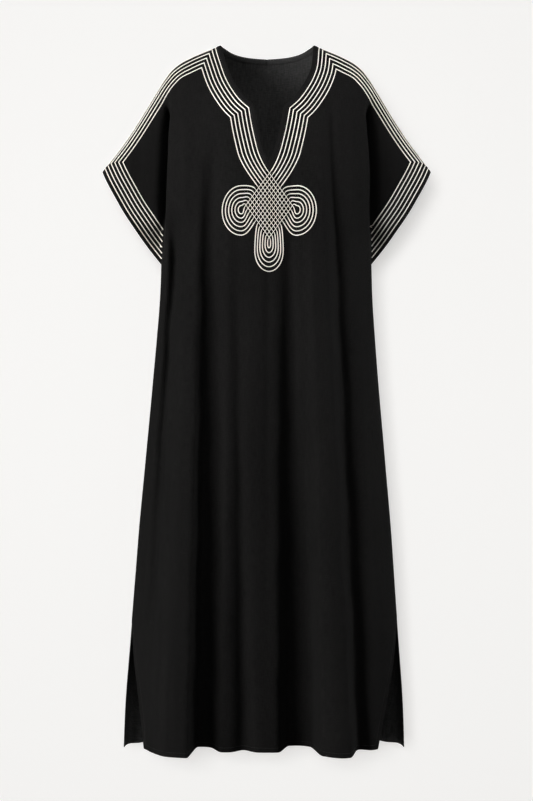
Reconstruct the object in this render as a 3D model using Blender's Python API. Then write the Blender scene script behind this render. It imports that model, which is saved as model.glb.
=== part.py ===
"""A long kaftan with couched cord borders and a woven knot, as closed solids at real size.

Metres, +Z up. The origin is midway between the shoulders at the height of the neck points, on the plane
of the shoulder seams. The front faces -Y and +X is to the right of a viewer in front. Each panel is a
depth over its front view plan (x, z), so one pair of functions gives the cloth, its inside and every
cord that lies on it.
"""

import math
from collections import namedtuple

import bpy
import numpy as np
from mathutils import Vector
from mathutils.bvhtree import BVHTree
from mathutils.geometry import delaunay_2d_cdt

# Cloth and seams
WALL = 0.002
SEAM_GAP = 0.0003
LAY_GAP = 0.00035

# Lengths of the garment, down from the neck points
UNDERARM_Z = -0.438
SLIT_TOP_Z = -1.140
FRONT_HEM_Z = -1.383
BACK_HEM_Z = -1.402
LEAN_AT_HEM = -0.0066

# Cords
CORD_WIDTH = 0.0032
CORD_TOP_WIDTH = 0.0020
CORD_HEIGHT = 0.0015
KNOT_STRANDS = 12
LOOP_CORDS = 6

# Neck binding
BINDING_WIDTH = 0.0080
BINDING_THICK = 0.0008
BINDING_RAIL = 0.0090

# Shoulder and upper sleeve seam, one side: half width, height, radius of its roll
SeamRow = namedtuple("SeamRow", "x z roll")
SEAM = [
    SeamRow(0.000, 0.0340, 0.012),
    SeamRow(0.0933, 0.000, 0.012),
    SeamRow(0.124, -0.012, 0.012),
    SeamRow(0.154, -0.025, 0.013),
    SeamRow(0.176, -0.037, 0.015),
    SeamRow(0.192, -0.051, 0.018),
    SeamRow(0.206, -0.070, 0.021),
    SeamRow(0.2245, -0.100, 0.024),
    SeamRow(0.244, -0.132, 0.025),
    SeamRow(0.284, -0.194, 0.025),
    SeamRow(0.328, -0.252, 0.022),
]

# Sleeve edge from its tip to the underarm
EdgeRow = namedtuple("EdgeRow", "x z")
CUFF = [
    EdgeRow(0.3280, -0.252),
    EdgeRow(0.3165, -0.276),
    EdgeRow(0.2990, -0.308),
    EdgeRow(0.2805, -0.340),
    EdgeRow(0.2590, -0.372),
    EdgeRow(0.2365, -0.404),
    EdgeRow(0.2095, -0.438),
]

# Neck edge, half widths: the round part, the slit below its notch, and the back
NECK_ROUND = [
    EdgeRow(0.0933, 0.000),
    EdgeRow(0.0882, -0.030),
    EdgeRow(0.0822, -0.0567),
    EdgeRow(0.0739, -0.0796),
    EdgeRow(0.0633, -0.0998),
    EdgeRow(0.0497, -0.120),
    EdgeRow(0.0296, -0.140),
]
NECK_SLIT = [
    EdgeRow(0.0296, -0.140),
    EdgeRow(0.0274, -0.154),
    EdgeRow(0.0231, -0.179),
    EdgeRow(0.0173, -0.206),
    EdgeRow(0.0108, -0.231),
    EdgeRow(0.0000, -0.2566),
]
NECK_BACK = [
    EdgeRow(0.0933, 0.000),
    EdgeRow(0.0795, -0.0045),
    EdgeRow(0.0500, -0.0105),
    EdgeRow(0.0250, -0.0130),
    EdgeRow(0.0000, -0.0140),
]
NECK_SHIFT = 0.0044
NECK_SHIFT_FALL = 0.060
SLEEVE_STARTS_X = 0.165
SLEEVE_EASE = 0.060

# The body's section by height: half width at the side seam, depth of the front and of the back
SectionRow = namedtuple("SectionRow", "z half front back")
SECTIONS = [
    SectionRow(-1.450, 0.282, 0.117, 0.125),
    SectionRow(-1.308, 0.277, 0.120, 0.124),
    SectionRow(-1.188, 0.268, 0.122, 0.122),
    SectionRow(-1.068, 0.259, 0.124, 0.118),
    SectionRow(-0.948, 0.250, 0.125, 0.113),
    SectionRow(-0.828, 0.239, 0.127, 0.108),
    SectionRow(-0.708, 0.228, 0.129, 0.105),
    SectionRow(-0.588, 0.218, 0.131, 0.106),
    SectionRow(-0.508, 0.212, 0.132, 0.109),
    SectionRow(-0.438, 0.2095, 0.133, 0.113),
    SectionRow(-0.300, 0.2095, 0.131, 0.116),
    SectionRow(-0.200, 0.2095, 0.125, 0.113),
    SectionRow(-0.100, 0.2095, 0.110, 0.098),
    SectionRow(0.050, 0.2095, 0.085, 0.070),
]

# Front edge of each side slit: share of the half width, by height, on the left and on the right
SlitRow = namedtuple("SlitRow", "z left right")
SLIT = [
    SlitRow(-1.140, 1.000, 1.000),
    SlitRow(-1.175, 0.975, 0.972),
    SlitRow(-1.220, 0.945, 0.935),
    SlitRow(-1.290, 0.890, 0.868),
    SlitRow(-1.383, 0.832, 0.788),
]

# Folds: place across at the start and at the hem, start height, spread at both, depth at both.
# A ridge is positive and a valley is negative.
Fold = namedtuple("Fold", "x_top x_hem z_top spread_top spread_hem rise_top rise_hem")
FRONT_FOLDS = [
    Fold(-0.186, -0.214, -0.300, 0.007, 0.012, -0.012, -0.004),
    Fold(-0.158, -0.179, -0.280, 0.020, 0.028, 0.003, 0.037),
    Fold(-0.120, -0.118, -0.240, 0.012, 0.019, -0.003, -0.044),
    Fold(-0.082, -0.079, -0.400, 0.016, 0.015, 0.001, 0.013),
    Fold(-0.053, -0.046, -0.420, 0.014, 0.013, -0.001, -0.017),
    Fold(-0.018, -0.002, -0.420, 0.026, 0.028, 0.001, 0.012),
    Fold(0.036, 0.066, -0.380, 0.014, 0.026, -0.002, -0.052),
    Fold(0.096, 0.138, -0.300, 0.018, 0.024, 0.003, 0.046),
    Fold(0.144, 0.181, -0.260, 0.009, 0.011, -0.006, -0.030),
    Fold(0.174, 0.209, -0.300, 0.012, 0.014, 0.002, 0.010),
]
BACK_FOLDS = [
    Fold(-0.150, -0.212, -0.300, 0.020, 0.026, 0.003, 0.026),
    Fold(-0.108, -0.148, -0.260, 0.014, 0.022, -0.004, -0.036),
    Fold(-0.062, -0.090, -0.320, 0.020, 0.024, 0.002, 0.024),
    Fold(-0.020, -0.036, -0.340, 0.016, 0.018, -0.002, -0.026),
    Fold(0.026, 0.020, -0.320, 0.022, 0.026, 0.002, 0.020),
    Fold(0.072, 0.086, -0.280, 0.014, 0.024, -0.004, -0.040),
    Fold(0.118, 0.152, -0.300, 0.020, 0.026, 0.003, 0.032),
    Fold(0.160, 0.214, -0.280, 0.012, 0.020, -0.005, -0.022),
]

# Sleeves and the crease between body and sleeve
SLEEVE_DEPTH = 0.032
SLEEVE_LEAST = 0.0045
SLEEVE_CLOSING = 0.085
UNDERARM_JOIN = 0.090
CREASE = [EdgeRow(0.186, -0.090), EdgeRow(0.193, -0.220), EdgeRow(0.199, -0.360), EdgeRow(0.202, -0.438)]
CREASE_RUN = 0.015
CREASE_SOFT_RUN = 0.045
CREASE_SHARP_Z = -0.240
CREASE_SHARPENS = 0.150
CREASE_HOLLOW = 0.40
CREASE_SPREAD = 0.014
CREASE_LEAD = 0.004
CHEST_REACH = 0.300
CHEST_SQUARE = 2.2
OVAL_SQUARE = 2.6
OVAL_ROUND = 2.2
OVAL_FADE = 1.6
RIDGE_BLEND = 4.0
LEAST_DEPTH = 1e-7
FOLD_FADE_IN = 8.0
CHEST_EASE = 0.200
SHOULDER_SLOPE_FRONT = 0.60
SHOULDER_SLOPE_BACK = 0.70

# Border cords, by their distance from the edge in plan: neck, shoulder, sleeve and cuff
BorderRow = namedtuple("BorderRow", "neck shoulder sleeve cuff")
BORDER = [
    BorderRow(0.0183, 0.0025, 0.0028, 0.0155),
    BorderRow(0.0257, 0.0105, 0.0068, 0.0230),
    BorderRow(0.0331, 0.0190, 0.0125, 0.0305),
    BorderRow(0.0405, 0.0275, 0.0192, 0.0380),
    BorderRow(0.0479, 0.0360, 0.0262, 0.0455),
]
FIRST_NECK = 0.0109
FIRST_CUFF = 0.0080
CURVE_IN_Z = -0.232
CUFF_END_CLEAR = 0.0135
BACK_NECK_EXTRA = 0.0006

# Knot, from its centre: half diamond, and the loops by their first turn and the step between turns
KNOT_X = 0.0044
KNOT_Z = -0.3355
DIAMOND_HALF_WIDTH = 0.0443
DIAMOND_HALF_HEIGHT = 0.0615
Loop = namedtuple("Loop", "reach reach_step top top_step foot foot_step")
SIDE_LOOP = Loop(0.0585, 0.0060, 0.0045, 0.0065, 0.0180, 0.0080)
SIDE_LOOP_TURN = 0.0530
FOOT_LOOP_HALF = 0.0032
FOOT_LOOP_STEP = 0.0048
FOOT_LOOP_END = 0.0833
FOOT_LOOP_END_STEP = 0.0089
FOOT_LOOP_WIDEST = 0.0730
FOOT_LOOP_WIDEST_STEP = 0.0028
STRAND_LOW = 0.0006
STRAND_HIGH = 0.0018
PLATE_EXTRA = 0.0002
DIAMOND_INSET = 0.970

# Sampling
DENSE = 160
CURVE_POINTS = 24
BOW_POINTS = 14
RUN_ON = 0.02
SLOPE_STEP = 0.002
SEAM_RAIL = 0.0008
SHOULDER_CLEAR = 0.006
FOLDS_START_Z = -0.300
CREASE_BELOW = 0.014
LEAST_MITRE = 0.5
SIDE_ROWS = 11
SLIT_ROWS = 5
UPPER_TOP_Z = -0.050
UPPER_STEP = 0.040
COLUMN_STEP = 0.033
EDGE_SHARES = (0.935, 0.972, 0.993)
EDGE_CLEAR = 0.010
CREASE_COLUMNS = (-0.005, 0.003, 0.011)
SLEEVE_COLUMNS = (0.026, 0.048)
CREASE_TOP_Z = -0.125
CLEAR_OF_LINES = 0.009
ON_SEAM = 1e-6
CAST_REACH = 0.008
LIFT_ROUNDS = 3
LIFT_PLACES = 25
LIFT_SPARE = 0.00010
NECK_STATIONS = 8
SLIT_STATIONS = 6
REAR_STATIONS = 6
SHOULDER_STATIONS = 11
SHOULDER_EDGE_STATIONS = 12
CUFF_STATIONS = 6
CUFF_EDGE_STATIONS = 8
SIDE_TURN_STATIONS = 8
FOOT_TURN_STATIONS = 10


def smooth(value):
    """0 below 0, 1 above 1, and an even ramp between."""
    t = np.clip(value, 0.0, 1.0)
    return t * t * (3.0 - 2.0 * t)


def through(at, known, values):
    """A smooth curve through a table's values, read at any places."""
    order = np.argsort(known)
    k = np.asarray(known, float)[order]
    v = np.asarray(values, float)[order]
    slope = np.gradient(v, k)
    at = np.clip(at, k[0], k[-1])
    i = np.clip(np.searchsorted(k, at) - 1, 0, len(k) - 2)
    step = k[i + 1] - k[i]
    t = (at - k[i]) / step
    a = (1 + 2 * t) * (1 - t) ** 2 * v[i] + t * (1 - t) ** 2 * step * slope[i]
    b = t * t * (3 - 2 * t) * v[i + 1] - t * t * (1 - t) * step * slope[i + 1]
    return a + b


def column(table, name):
    return [getattr(row, name) for row in table]


def lean(z):
    """How far the centre line has drifted to the left at a height."""
    return LEAN_AT_HEM * np.clip(-z / -FRONT_HEM_Z, 0.0, 1.05)


def half_width(z):
    return through(z, column(SECTIONS, "z"), column(SECTIONS, "half"))


def seam_height(x):
    return through(np.abs(x), column(SEAM, "x"), column(SEAM, "z"))


def ridge_depth(x, z, steepness):
    """Depth that the roll of the shoulder seam allows, at a place below it."""
    x = np.abs(x)
    step = SLOPE_STEP
    slope = (seam_height(x + step) - seam_height(np.maximum(x - step, 0.0))) / (2 * step)
    below = np.maximum(seam_height(x) - z, 0.0) / np.sqrt(1 + slope * slope)
    roll = through(x, column(SEAM, "x"), column(SEAM, "roll"))
    return np.sqrt(2 * roll * below + (steepness * below) ** 2)


def fold_rise(x, z, folds, hem):
    """All the folds together, growing from where each starts down to the hem."""
    rise = np.zeros_like(x)
    for fold in folds:
        down = (fold.z_top - z) / (fold.z_top - hem)
        t = np.clip(down, 0.0, 1.05)
        middle = fold.x_top + (fold.x_hem - fold.x_top) * t
        spread = fold.spread_top + (fold.spread_hem - fold.spread_top) * t
        height = (fold.rise_top + (fold.rise_hem - fold.rise_top) * t) * smooth(down * FOLD_FADE_IN + 1.0)
        rise = rise + height * np.exp(-(((x - middle) / spread) ** 2))
    return rise


def cloth_depth(x, z, side):
    """Depth of the front (side -1) or the back (side 1) from the seam plane, outward."""
    front = side < 0
    x = np.asarray(x, float)
    z = np.asarray(z, float)
    across = np.abs(x)
    steepness = SHOULDER_SLOPE_FRONT if front else SHOULDER_SLOPE_BACK
    deep = through(z, column(SECTIONS, "z"), column(SECTIONS, "front" if front else "back"))
    folds, hem = (FRONT_FOLDS, FRONT_HEM_Z) if front else (BACK_FOLDS, BACK_HEM_Z)

    # Skirt: an oval that closes at the side seams
    share = np.clip(across / half_width(z), 0.0, 1.0)
    oval = (1 - share**OVAL_SQUARE) ** (1 / OVAL_ROUND)
    skirt = deep * oval + fold_rise(x, z, folds, hem) * np.clip(oval * OVAL_FADE, 0.0, 1.0)

    # Chest, then the crease and the sleeve beyond it
    broad = np.sqrt(np.clip(1 - (across / CHEST_REACH) ** CHEST_SQUARE, 0.01, 1.0))
    ease = smooth((z - UNDERARM_Z) / CHEST_EASE)
    chest = deep * (oval * (1 - ease) + broad * ease) + fold_rise(x, z, folds, hem)
    crease = through(z, column(CREASE, "z"), column(CREASE, "x"))
    run = CREASE_RUN + CREASE_SOFT_RUN * smooth((z - CREASE_SHARP_Z) / CREASE_SHARPENS)
    beyond = smooth((across - crease + CREASE_LEAD) / run)
    hollow = 1 - CREASE_HOLLOW * np.exp(-(((across - crease - CREASE_RUN) / CREASE_SPREAD) ** 2))
    sleeve = SLEEVE_LEAST + SLEEVE_DEPTH * smooth((z - UNDERARM_Z) / SLEEVE_CLOSING) * hollow
    upper = chest * (1 - beyond) + sleeve * beyond

    join = smooth((z - UNDERARM_Z) / UNDERARM_JOIN)
    limit = skirt * (1 - join) + upper * join
    limit = np.maximum(limit, np.where(z > UNDERARM_Z + ON_SEAM, SLEEVE_LEAST, LEAST_DEPTH))
    ridge = np.maximum(ridge_depth(x, z, steepness), LEAST_DEPTH)
    return (limit**-RIDGE_BLEND + ridge**-RIDGE_BLEND) ** (-1 / RIDGE_BLEND)


def place(x, z, side):
    """Points on the outside of the cloth, from their plan places."""
    depth = cloth_depth(x, z, side) + SEAM_GAP / 2
    return np.stack([x + lean(z), side * depth, z], axis=-1)


def line_through(rows, count=DENSE):
    """A smooth plan line through a table's rows."""
    points = np.array([(row.x, row.z) for row in rows])
    run = np.concatenate([[0], np.cumsum(np.linalg.norm(np.diff(points, axis=0), axis=1))])
    at = np.linspace(0, run[-1], count)
    return np.stack([through(at, run, points[:, 0]), through(at, run, points[:, 1])], axis=1)


def offset(line, distance, reach=RUN_ON):
    """A plan line moved to its right by a distance (one, or one for each point), and run on at both ends."""
    ahead = np.gradient(line, axis=0)
    ahead /= np.linalg.norm(ahead, axis=1)[:, None]
    right = np.stack([ahead[:, 1], -ahead[:, 0]], axis=1)
    moved = line + right * np.reshape(distance, (-1, 1))
    return np.vstack([moved[0] - ahead[0] * reach, moved, moved[-1] + ahead[-1] * reach])


def crossing(first, second):
    """Where two plan lines cross: the place, and the segment of each."""
    for i in range(len(first) - 1):
        a, b = first[i], first[i + 1]
        r = b - a
        for j in range(len(second) - 1):
            c, d = second[j], second[j + 1]
            s = d - c
            turn = r[0] * s[1] - r[1] * s[0]
            if abs(turn) < 1e-16:
                continue
            t = ((c[0] - a[0]) * s[1] - (c[1] - a[1]) * s[0]) / turn
            u = ((c[0] - a[0]) * r[1] - (c[1] - a[1]) * r[0]) / turn
            if -1e-9 <= t <= 1 + 1e-9 and -1e-9 <= u <= 1 + 1e-9:
                return a + r * t, i, j
    raise ValueError("the plan lines don't cross")


def evenly(line, count):
    """A plan line again, with this many even steps."""
    run = np.concatenate([[0], np.cumsum(np.linalg.norm(np.diff(line, axis=0), axis=1))])
    at = np.linspace(0, run[-1], count + 1)
    return np.stack([np.interp(at, run, line[:, 0]), np.interp(at, run, line[:, 1])], axis=1)


def between(lines, counts):
    """Mitre plan lines one after the other, each cut where it meets the next, in even steps."""
    cuts = [crossing(a, b) for a, b in zip(lines, lines[1:])]
    pieces = []
    for n, line in enumerate(lines):
        start = cuts[n - 1][2] + 1 if n else 0
        stop = cuts[n][1] + 1 if n < len(cuts) else len(line)
        body = line[start:stop]
        if n:
            body = np.vstack([cuts[n - 1][0], body])
        if n < len(cuts):
            body = np.vstack([body, cuts[n][0]])
        pieces.append(evenly(body, counts[n]))
    return np.vstack([pieces[0]] + [piece[1:] for piece in pieces[1:]])


def cubic(start, leave, end, arrive):
    """A plan curve between two places that leaves and arrives along two vectors."""
    t = np.linspace(0, 1, CURVE_POINTS)[:, None]
    a = (1 + 2 * t) * (1 - t) ** 2 * start + t * (1 - t) ** 2 * leave
    return a + t * t * (3 - 2 * t) * end - t * t * (1 - t) * arrive


# Plan lines of one side, from the middle outward; cloth is to their right
NECK_TOP = line_through(NECK_ROUND)[::-1]
NECK_FOOT = line_through(NECK_SLIT)[::-1]
NECK_REAR = line_through(NECK_BACK)[::-1]
SHOULDER = line_through(SEAM[1:])
CUFF_EDGE = line_through(CUFF)
TO_TOP = np.array([0.0, DIAMOND_HALF_HEIGHT])
TO_SIDE = np.array([DIAMOND_HALF_WIDTH, 0.0])


def shifted(line, sign):
    """Neck lines of one side, which drift to the right of the picture as they come down to the knot."""
    moved = np.array(line, float)
    moved[:, 0] += sign * NECK_SHIFT * smooth(-moved[:, 1] / NECK_SHIFT_FALL)
    return moved


def neck_foot(distance, strand, sign):
    """A line beside the neck's slit, from where it enters the diamond to above the notch."""
    beside = offset(shifted(NECK_FOOT, sign), distance)
    beside = beside[beside[:, 1] > CURVE_IN_Z]
    end = np.array([KNOT_X * sign, KNOT_Z]) + TO_TOP + (TO_SIDE - TO_TOP) * strand / KNOT_STRANDS
    size = np.linalg.norm(beside[0] - end)
    up = (TO_TOP + TO_SIDE) / np.linalg.norm(TO_TOP + TO_SIDE)
    ahead = (beside[1] - beside[0]) / np.linalg.norm(beside[1] - beside[0])
    return np.vstack([cubic(end, up * size, beside[0], ahead * size)[:-1], beside])


def along_shoulder(row):
    """Offsets from the shoulder seam, easing from the shoulder's distance to the sleeve's."""
    ease = smooth((SHOULDER[:, 0] - SLEEVE_STARTS_X) / SLEEVE_EASE)
    return row.shoulder * (1 - ease) + row.sleeve * ease


def to_crease(line):
    """A cuff line, cut where it goes behind the body's fold."""
    limit = through(line[:, 1], column(CREASE, "z"), column(CREASE, "x")) + CUFF_END_CLEAR
    return line[line[:, 0] > limit]


def front_border(row, strand, sign):
    """From the knot up the neck, along the shoulder and down the cuff, mitred at each turn."""
    lines = [
        neck_foot(row.neck, strand, sign),
        offset(shifted(NECK_TOP, sign), row.neck),
        offset(SHOULDER, along_shoulder(row)),
        to_crease(offset(CUFF_EDGE, row.cuff)),
    ]
    return between(lines, [SLIT_STATIONS, NECK_STATIONS, SHOULDER_STATIONS, CUFF_STATIONS])


def front_neck(distance, strand, sign):
    """From the knot up the neck to the shoulder seam."""
    top = offset(shifted(NECK_TOP, sign), distance)
    end, at, _ = crossing(top, SHOULDER)
    top = np.vstack([top[: at + 1], end])
    return between([neck_foot(distance, strand, sign), top], [SLIT_STATIONS, NECK_STATIONS])


def back_border(row, pitch):
    """From the middle of the back neck, along the shoulder and down the cuff."""
    lines = [
        offset(NECK_REAR, row.neck + pitch)[1:],
        offset(SHOULDER, along_shoulder(row)),
        to_crease(offset(CUFF_EDGE, row.cuff)),
    ]
    return between(lines, [REAR_STATIONS, SHOULDER_STATIONS, CUFF_STATIONS])


def back_neck(distance):
    """From the middle of the back neck to the shoulder seam."""
    line = offset(NECK_REAR, distance)[1:]
    end, at, _ = crossing(line, SHOULDER)
    return evenly(np.vstack([line[: at + 1], end]), REAR_STATIONS)


def cuff_line(distance):
    """Beside the cuff's edge, from the shoulder seam down."""
    line = offset(CUFF_EDGE, distance)
    end, _, at = crossing(SHOULDER, line)
    return evenly(to_crease(np.vstack([end, line[at + 1 :]])), CUFF_STATIONS)


def rails():
    """Lines midway between the cords, where the panels have their points."""
    first = BORDER[0]
    neck, cuff = (FIRST_NECK + first.neck) / 2, (FIRST_CUFF + first.cuff) / 2
    rows = [BorderRow(neck, SEAM_RAIL, SEAM_RAIL, cuff)]
    for inner, outer in zip(BORDER, BORDER[1:]):
        rows.append(BorderRow(*[(a + b) / 2 for a, b in zip(inner, outer)]))
    rows.append(BorderRow(*[a + (a - b) / 2 for a, b in zip(BORDER[-1], BORDER[-2])]))
    return rows


def mirrored(line, sign):
    """A side's plan line, in the garment's plan."""
    return np.stack([line[:, 0] * sign, line[:, 1]], axis=1)


Cloth = namedtuple("Cloth", "plan outer normals faces tree")


def edge_lines(side, sign):
    """The outline of one side of a panel, from the middle of the neck round to the middle of the hem."""
    if side < 0:
        slit = evenly(shifted(NECK_FOOT, sign), SLIT_STATIONS)
        round_part = evenly(shifted(NECK_TOP, sign), NECK_STATIONS)
        neck = np.vstack([slit, round_part[1:]])
        first = [front_neck(BINDING_RAIL, 0, sign)[-1]]
    else:
        neck = evenly(NECK_REAR, REAR_STATIONS)
        first = [back_neck(BINDING_RAIL)[-1]]
    shoulder = evenly(SHOULDER, SHOULDER_EDGE_STATIONS)[1:]
    keep = shoulder[:, 0] > first[0][0] + SHOULDER_CLEAR
    shoulder = np.vstack([first, shoulder[keep]])
    cuff = evenly(CUFF_EDGE, CUFF_EDGE_STATIONS)[1:]
    z = skirt_rows(side)[1:]
    down = np.stack([half_width(z) * edge_share(side, sign, z), z], axis=1)
    return neck, shoulder, cuff, down[:SIDE_ROWS], down[SIDE_ROWS:]


def skirt_rows(side):
    """Heights of the rows below the underarm, shared by the side seams and the columns."""
    hem = FRONT_HEM_Z if side < 0 else BACK_HEM_Z
    upper = np.linspace(UNDERARM_Z, SLIT_TOP_Z, SIDE_ROWS + 1)
    return np.concatenate([upper, np.linspace(SLIT_TOP_Z, hem, SLIT_ROWS + 1)[1:]])


def edge_share(side, sign, z):
    """The panel's edge below the underarm, as a share of the half width there."""
    if side > 0:
        return np.ones_like(z)
    return through(z, column(SLIT, "z"), column(SLIT, "left" if sign < 0 else "right"))


def fold_columns(side, z):
    """Places across the body at one height: on every fold, and between."""
    folds, hem = (FRONT_FOLDS, FRONT_HEM_Z) if side < 0 else (BACK_FOLDS, BACK_HEM_Z)
    down = np.clip((FOLDS_START_Z - z) / (FOLDS_START_Z - hem), 0, 1)
    edge = half_width(z)
    at_hem = [fold.x_hem for fold in folds]
    here = [fold.x_top + (fold.x_hem - fold.x_top) * down for fold in folds]
    wide = half_width(hem)
    at_hem = [-EDGE_SHARES[0] * wide, *at_hem, EDGE_SHARES[0] * wide]
    here = [-EDGE_SHARES[0] * edge, *here, EDGE_SHARES[0] * edge]
    places = [sign * share * edge for sign in (-1, 1) for share in EDGE_SHARES[1:]]
    for a, b, left, right in zip(here, here[1:], at_hem, at_hem[1:]):
        steps = max(1, math.ceil((right - left) / COLUMN_STEP))
        places += [a + (b - a) * n / steps for n in range(steps)]
    return places + [here[-1]]


def column_lines(side):
    """Lines down the skirt on every fold and near the side seams, and down each crease."""
    rows = skirt_rows(side)[1:]
    grid = np.array([sorted(fold_columns(side, z)) for z in rows])
    lines = []
    for across in grid.T:
        sign = -1 if across[-1] < 0 else 1
        limit = half_width(rows) * edge_share(side, sign, rows)
        room = np.where(rows < SLIT_TOP_Z - ON_SEAM, EDGE_CLEAR, 0.0)
        keep = np.abs(across) < limit - room
        lines.append(np.stack([across, rows], axis=1)[keep])
    z = np.arange(CREASE_TOP_Z, UNDERARM_Z + CREASE_BELOW, -UPPER_STEP)
    crease = through(z, column(CREASE, "z"), column(CREASE, "x"))
    for away in CREASE_COLUMNS:
        for sign in (-1, 1):
            lines.append(np.stack([sign * (crease + away), z], axis=1))
    return [line for line in lines if len(line) > 1]


def inner_points(side, lines):
    """Points inside the upper part, on the folds and the sleeves, clear of the lines."""
    points = []
    for z in np.arange(UPPER_TOP_Z, UNDERARM_Z, -UPPER_STEP):
        crease = through(z, column(CREASE, "z"), column(CREASE, "x"))
        points += [(x, z) for x in fold_columns(side, z) if abs(x) < crease - EDGE_CLEAR]
        for away in SLEEVE_COLUMNS:
            points += [(crease + away, z), (-crease - away, z)]
    segments = np.vstack([np.hstack([line[:-1], line[1:]]) for line in lines])
    start, end = segments[:, :2], segments[:, 2:]
    run = end - start
    kept = []
    for point in points:
        t = np.clip(((point - start) * run).sum(1) / (run * run).sum(1), 0, 1)
        near = np.linalg.norm(start + run * t[:, None] - point, axis=1).min()
        if near > CLEAR_OF_LINES:
            kept.append(point)
    return kept


def inside(points, loop):
    """Which points lie in a closed plan outline."""
    x, z = points[:, 0][:, None], points[:, 1][:, None]
    a, b = loop, np.roll(loop, -1, axis=0)
    spans = (a[:, 1] > z) != (b[:, 1] > z)
    rise = np.where(np.abs(b[:, 1] - a[:, 1]) < 1e-12, 1e-12, b[:, 1] - a[:, 1])
    cross = a[:, 0] + (z - a[:, 1]) / rise * (b[:, 0] - a[:, 0])
    return (spans & (x < cross)).sum(1) % 2 == 1


def seam_normals(points, line, sign):
    """For each point that lies on a seam, the way out of the cloth in plan; nan for the others."""
    start, run = line[:-1], np.diff(line, axis=0)
    found = np.full((len(points), 2), np.nan)
    for n, point in enumerate(points):
        t = np.clip(((point - start) * run).sum(1) / (run * run).sum(1), 0, 1)
        away = np.linalg.norm(start + run * t[:, None] - point, axis=1)
        if away.min() < ON_SEAM:
            ahead = run[away < ON_SEAM].mean(0)
            found[n] = np.array([-ahead[1], ahead[0]]) * sign / np.linalg.norm(ahead)
    return found


def normals_of(points, faces):
    """Unit normals at the points, from the faces round each."""
    a, b, c = (points[faces[:, n]] for n in range(3))
    face = np.cross(b - a, c - a)
    face /= np.linalg.norm(face, axis=1)[:, None]
    total = np.zeros_like(points)
    for n in range(3):
        p, q, r = (points[faces[:, (n + k) % 3]] for k in range(3))
        u, v = q - p, r - p
        cosine = (u * v).sum(1) / np.linalg.norm(u, axis=1) / np.linalg.norm(v, axis=1)
        np.add.at(total, faces[:, n], face * np.arccos(np.clip(cosine, -1, 1))[:, None])
    return total / np.linalg.norm(total, axis=1)[:, None]


def round_half(pieces, sign):
    """One side's outline as a single line, in the garment's plan."""
    neck, seam, *rest = pieces
    return np.vstack([mirrored(piece, sign) for piece in (neck, seam[1:], *rest)])


def cloth(side):
    """The outside of a panel as triangles over its plan."""
    halves = {}
    lines = []
    for sign in (-1, 1):
        neck, shoulder, cuff, down, slit = edge_lines(side, sign)
        seam = np.vstack([neck[-1:], shoulder])
        halves[sign] = (neck, seam, cuff, down, slit)
        if side < 0:
            between_cords = [front_neck(BINDING_RAIL, 0, sign)]
            between_cords += [front_border(row, n + 1, sign) for n, row in enumerate(rails())]
        else:
            between_cords = [back_neck(BINDING_RAIL)]
            between_cords += [back_border(row, n * BACK_NECK_EXTRA) for n, row in enumerate(rails())]
        lines += [mirrored(line, sign) for line in between_cords]
    left, right = (round_half(halves[sign], sign) for sign in (-1, 1))
    lines += column_lines(side)
    hem_z = right[-1][1]
    hem = sorted(tuple(line[-1]) for line in lines if abs(line[-1][1] - hem_z) < ON_SEAM)
    loop = np.vstack([right, hem[::-1], left[::-1][:-1]])
    plan = list(loop)
    edges = [(n, (n + 1) % len(loop)) for n in range(len(loop))]
    for line in lines:
        edges += [(len(plan) + n, len(plan) + n + 1) for n in range(len(line) - 1)]
        plan += list(line)
    plan += inner_points(side, lines + [np.vstack([loop, loop[:1]])])
    found = delaunay_2d_cdt([Vector(p) for p in plan], edges, [], 0, 1e-6)
    points = np.array([tuple(v) for v in found[0]])
    faces = np.array([tuple(f) for f in found[2]])
    faces = faces[inside(points[faces].mean(1), loop)]
    used = np.unique(faces)
    remap = np.full(len(points), -1)
    remap[used] = np.arange(len(used))
    points, faces = points[used], remap[faces]

    ways = np.full((len(points), 2), np.nan)
    for sign in (-1, 1):
        _, seam, cuff, down, _ = halves[sign]
        for line in (seam, np.vstack([cuff[-1:], down])):
            found = seam_normals(points, mirrored(line, sign), sign)
            ways = np.where(np.isnan(ways), found, ways)
    on_seam = ~np.isnan(ways[:, 0])
    outer = place(points[:, 0], points[:, 1], side)
    outer[on_seam, 1] = side * SEAM_GAP / 2
    a, b, c = (points[faces[:, n]] for n in range(3))
    turn = (b - a)[:, 0] * (c - a)[:, 1] - (b - a)[:, 1] * (c - a)[:, 0]
    wrong = (turn < 0) if side < 0 else (turn > 0)
    faces[wrong] = faces[wrong][:, ::-1]
    normals = normals_of(outer, faces)
    normals[on_seam] = np.stack([ways[on_seam, 0], 0 * ways[on_seam, 0], ways[on_seam, 1]], axis=1)
    tree = BVHTree.FromPolygons([tuple(p) for p in outer], [tuple(f) for f in faces.tolist()])
    return Cloth(points, outer, normals, faces, tree)


def solid(name, points, faces, material, smooth_shaded=False):
    """A named object from points and faces."""
    mesh = bpy.data.meshes.new(name)
    mesh.from_pydata([tuple(p) for p in points], [], [tuple(int(n) for n in f) for f in faces])
    mesh.materials.append(material)
    mesh.polygons.foreach_set("use_smooth", [smooth_shaded] * len(mesh.polygons))
    mesh.update()
    made = bpy.data.objects.new(name, mesh)
    bpy.context.scene.collection.objects.link(made)
    return made


def panel(name, sheet, material):
    """The cloth's wall: its outside, the same points moved in, and a rim round every edge."""
    inner = sheet.outer - sheet.normals * WALL
    count = len(sheet.outer)
    halves = np.vstack([sheet.faces[:, [0, 1]], sheet.faces[:, [1, 2]], sheet.faces[:, [2, 0]]])
    known = set(map(tuple, halves.tolist()))
    rim = [(b, a, a + count, b + count) for a, b in halves.tolist() if (b, a) not in known]
    faces = sheet.faces.tolist() + (sheet.faces[:, ::-1] + count).tolist() + rim
    return solid(name, np.vstack([sheet.outer, inner]), faces, material, True)


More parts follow.
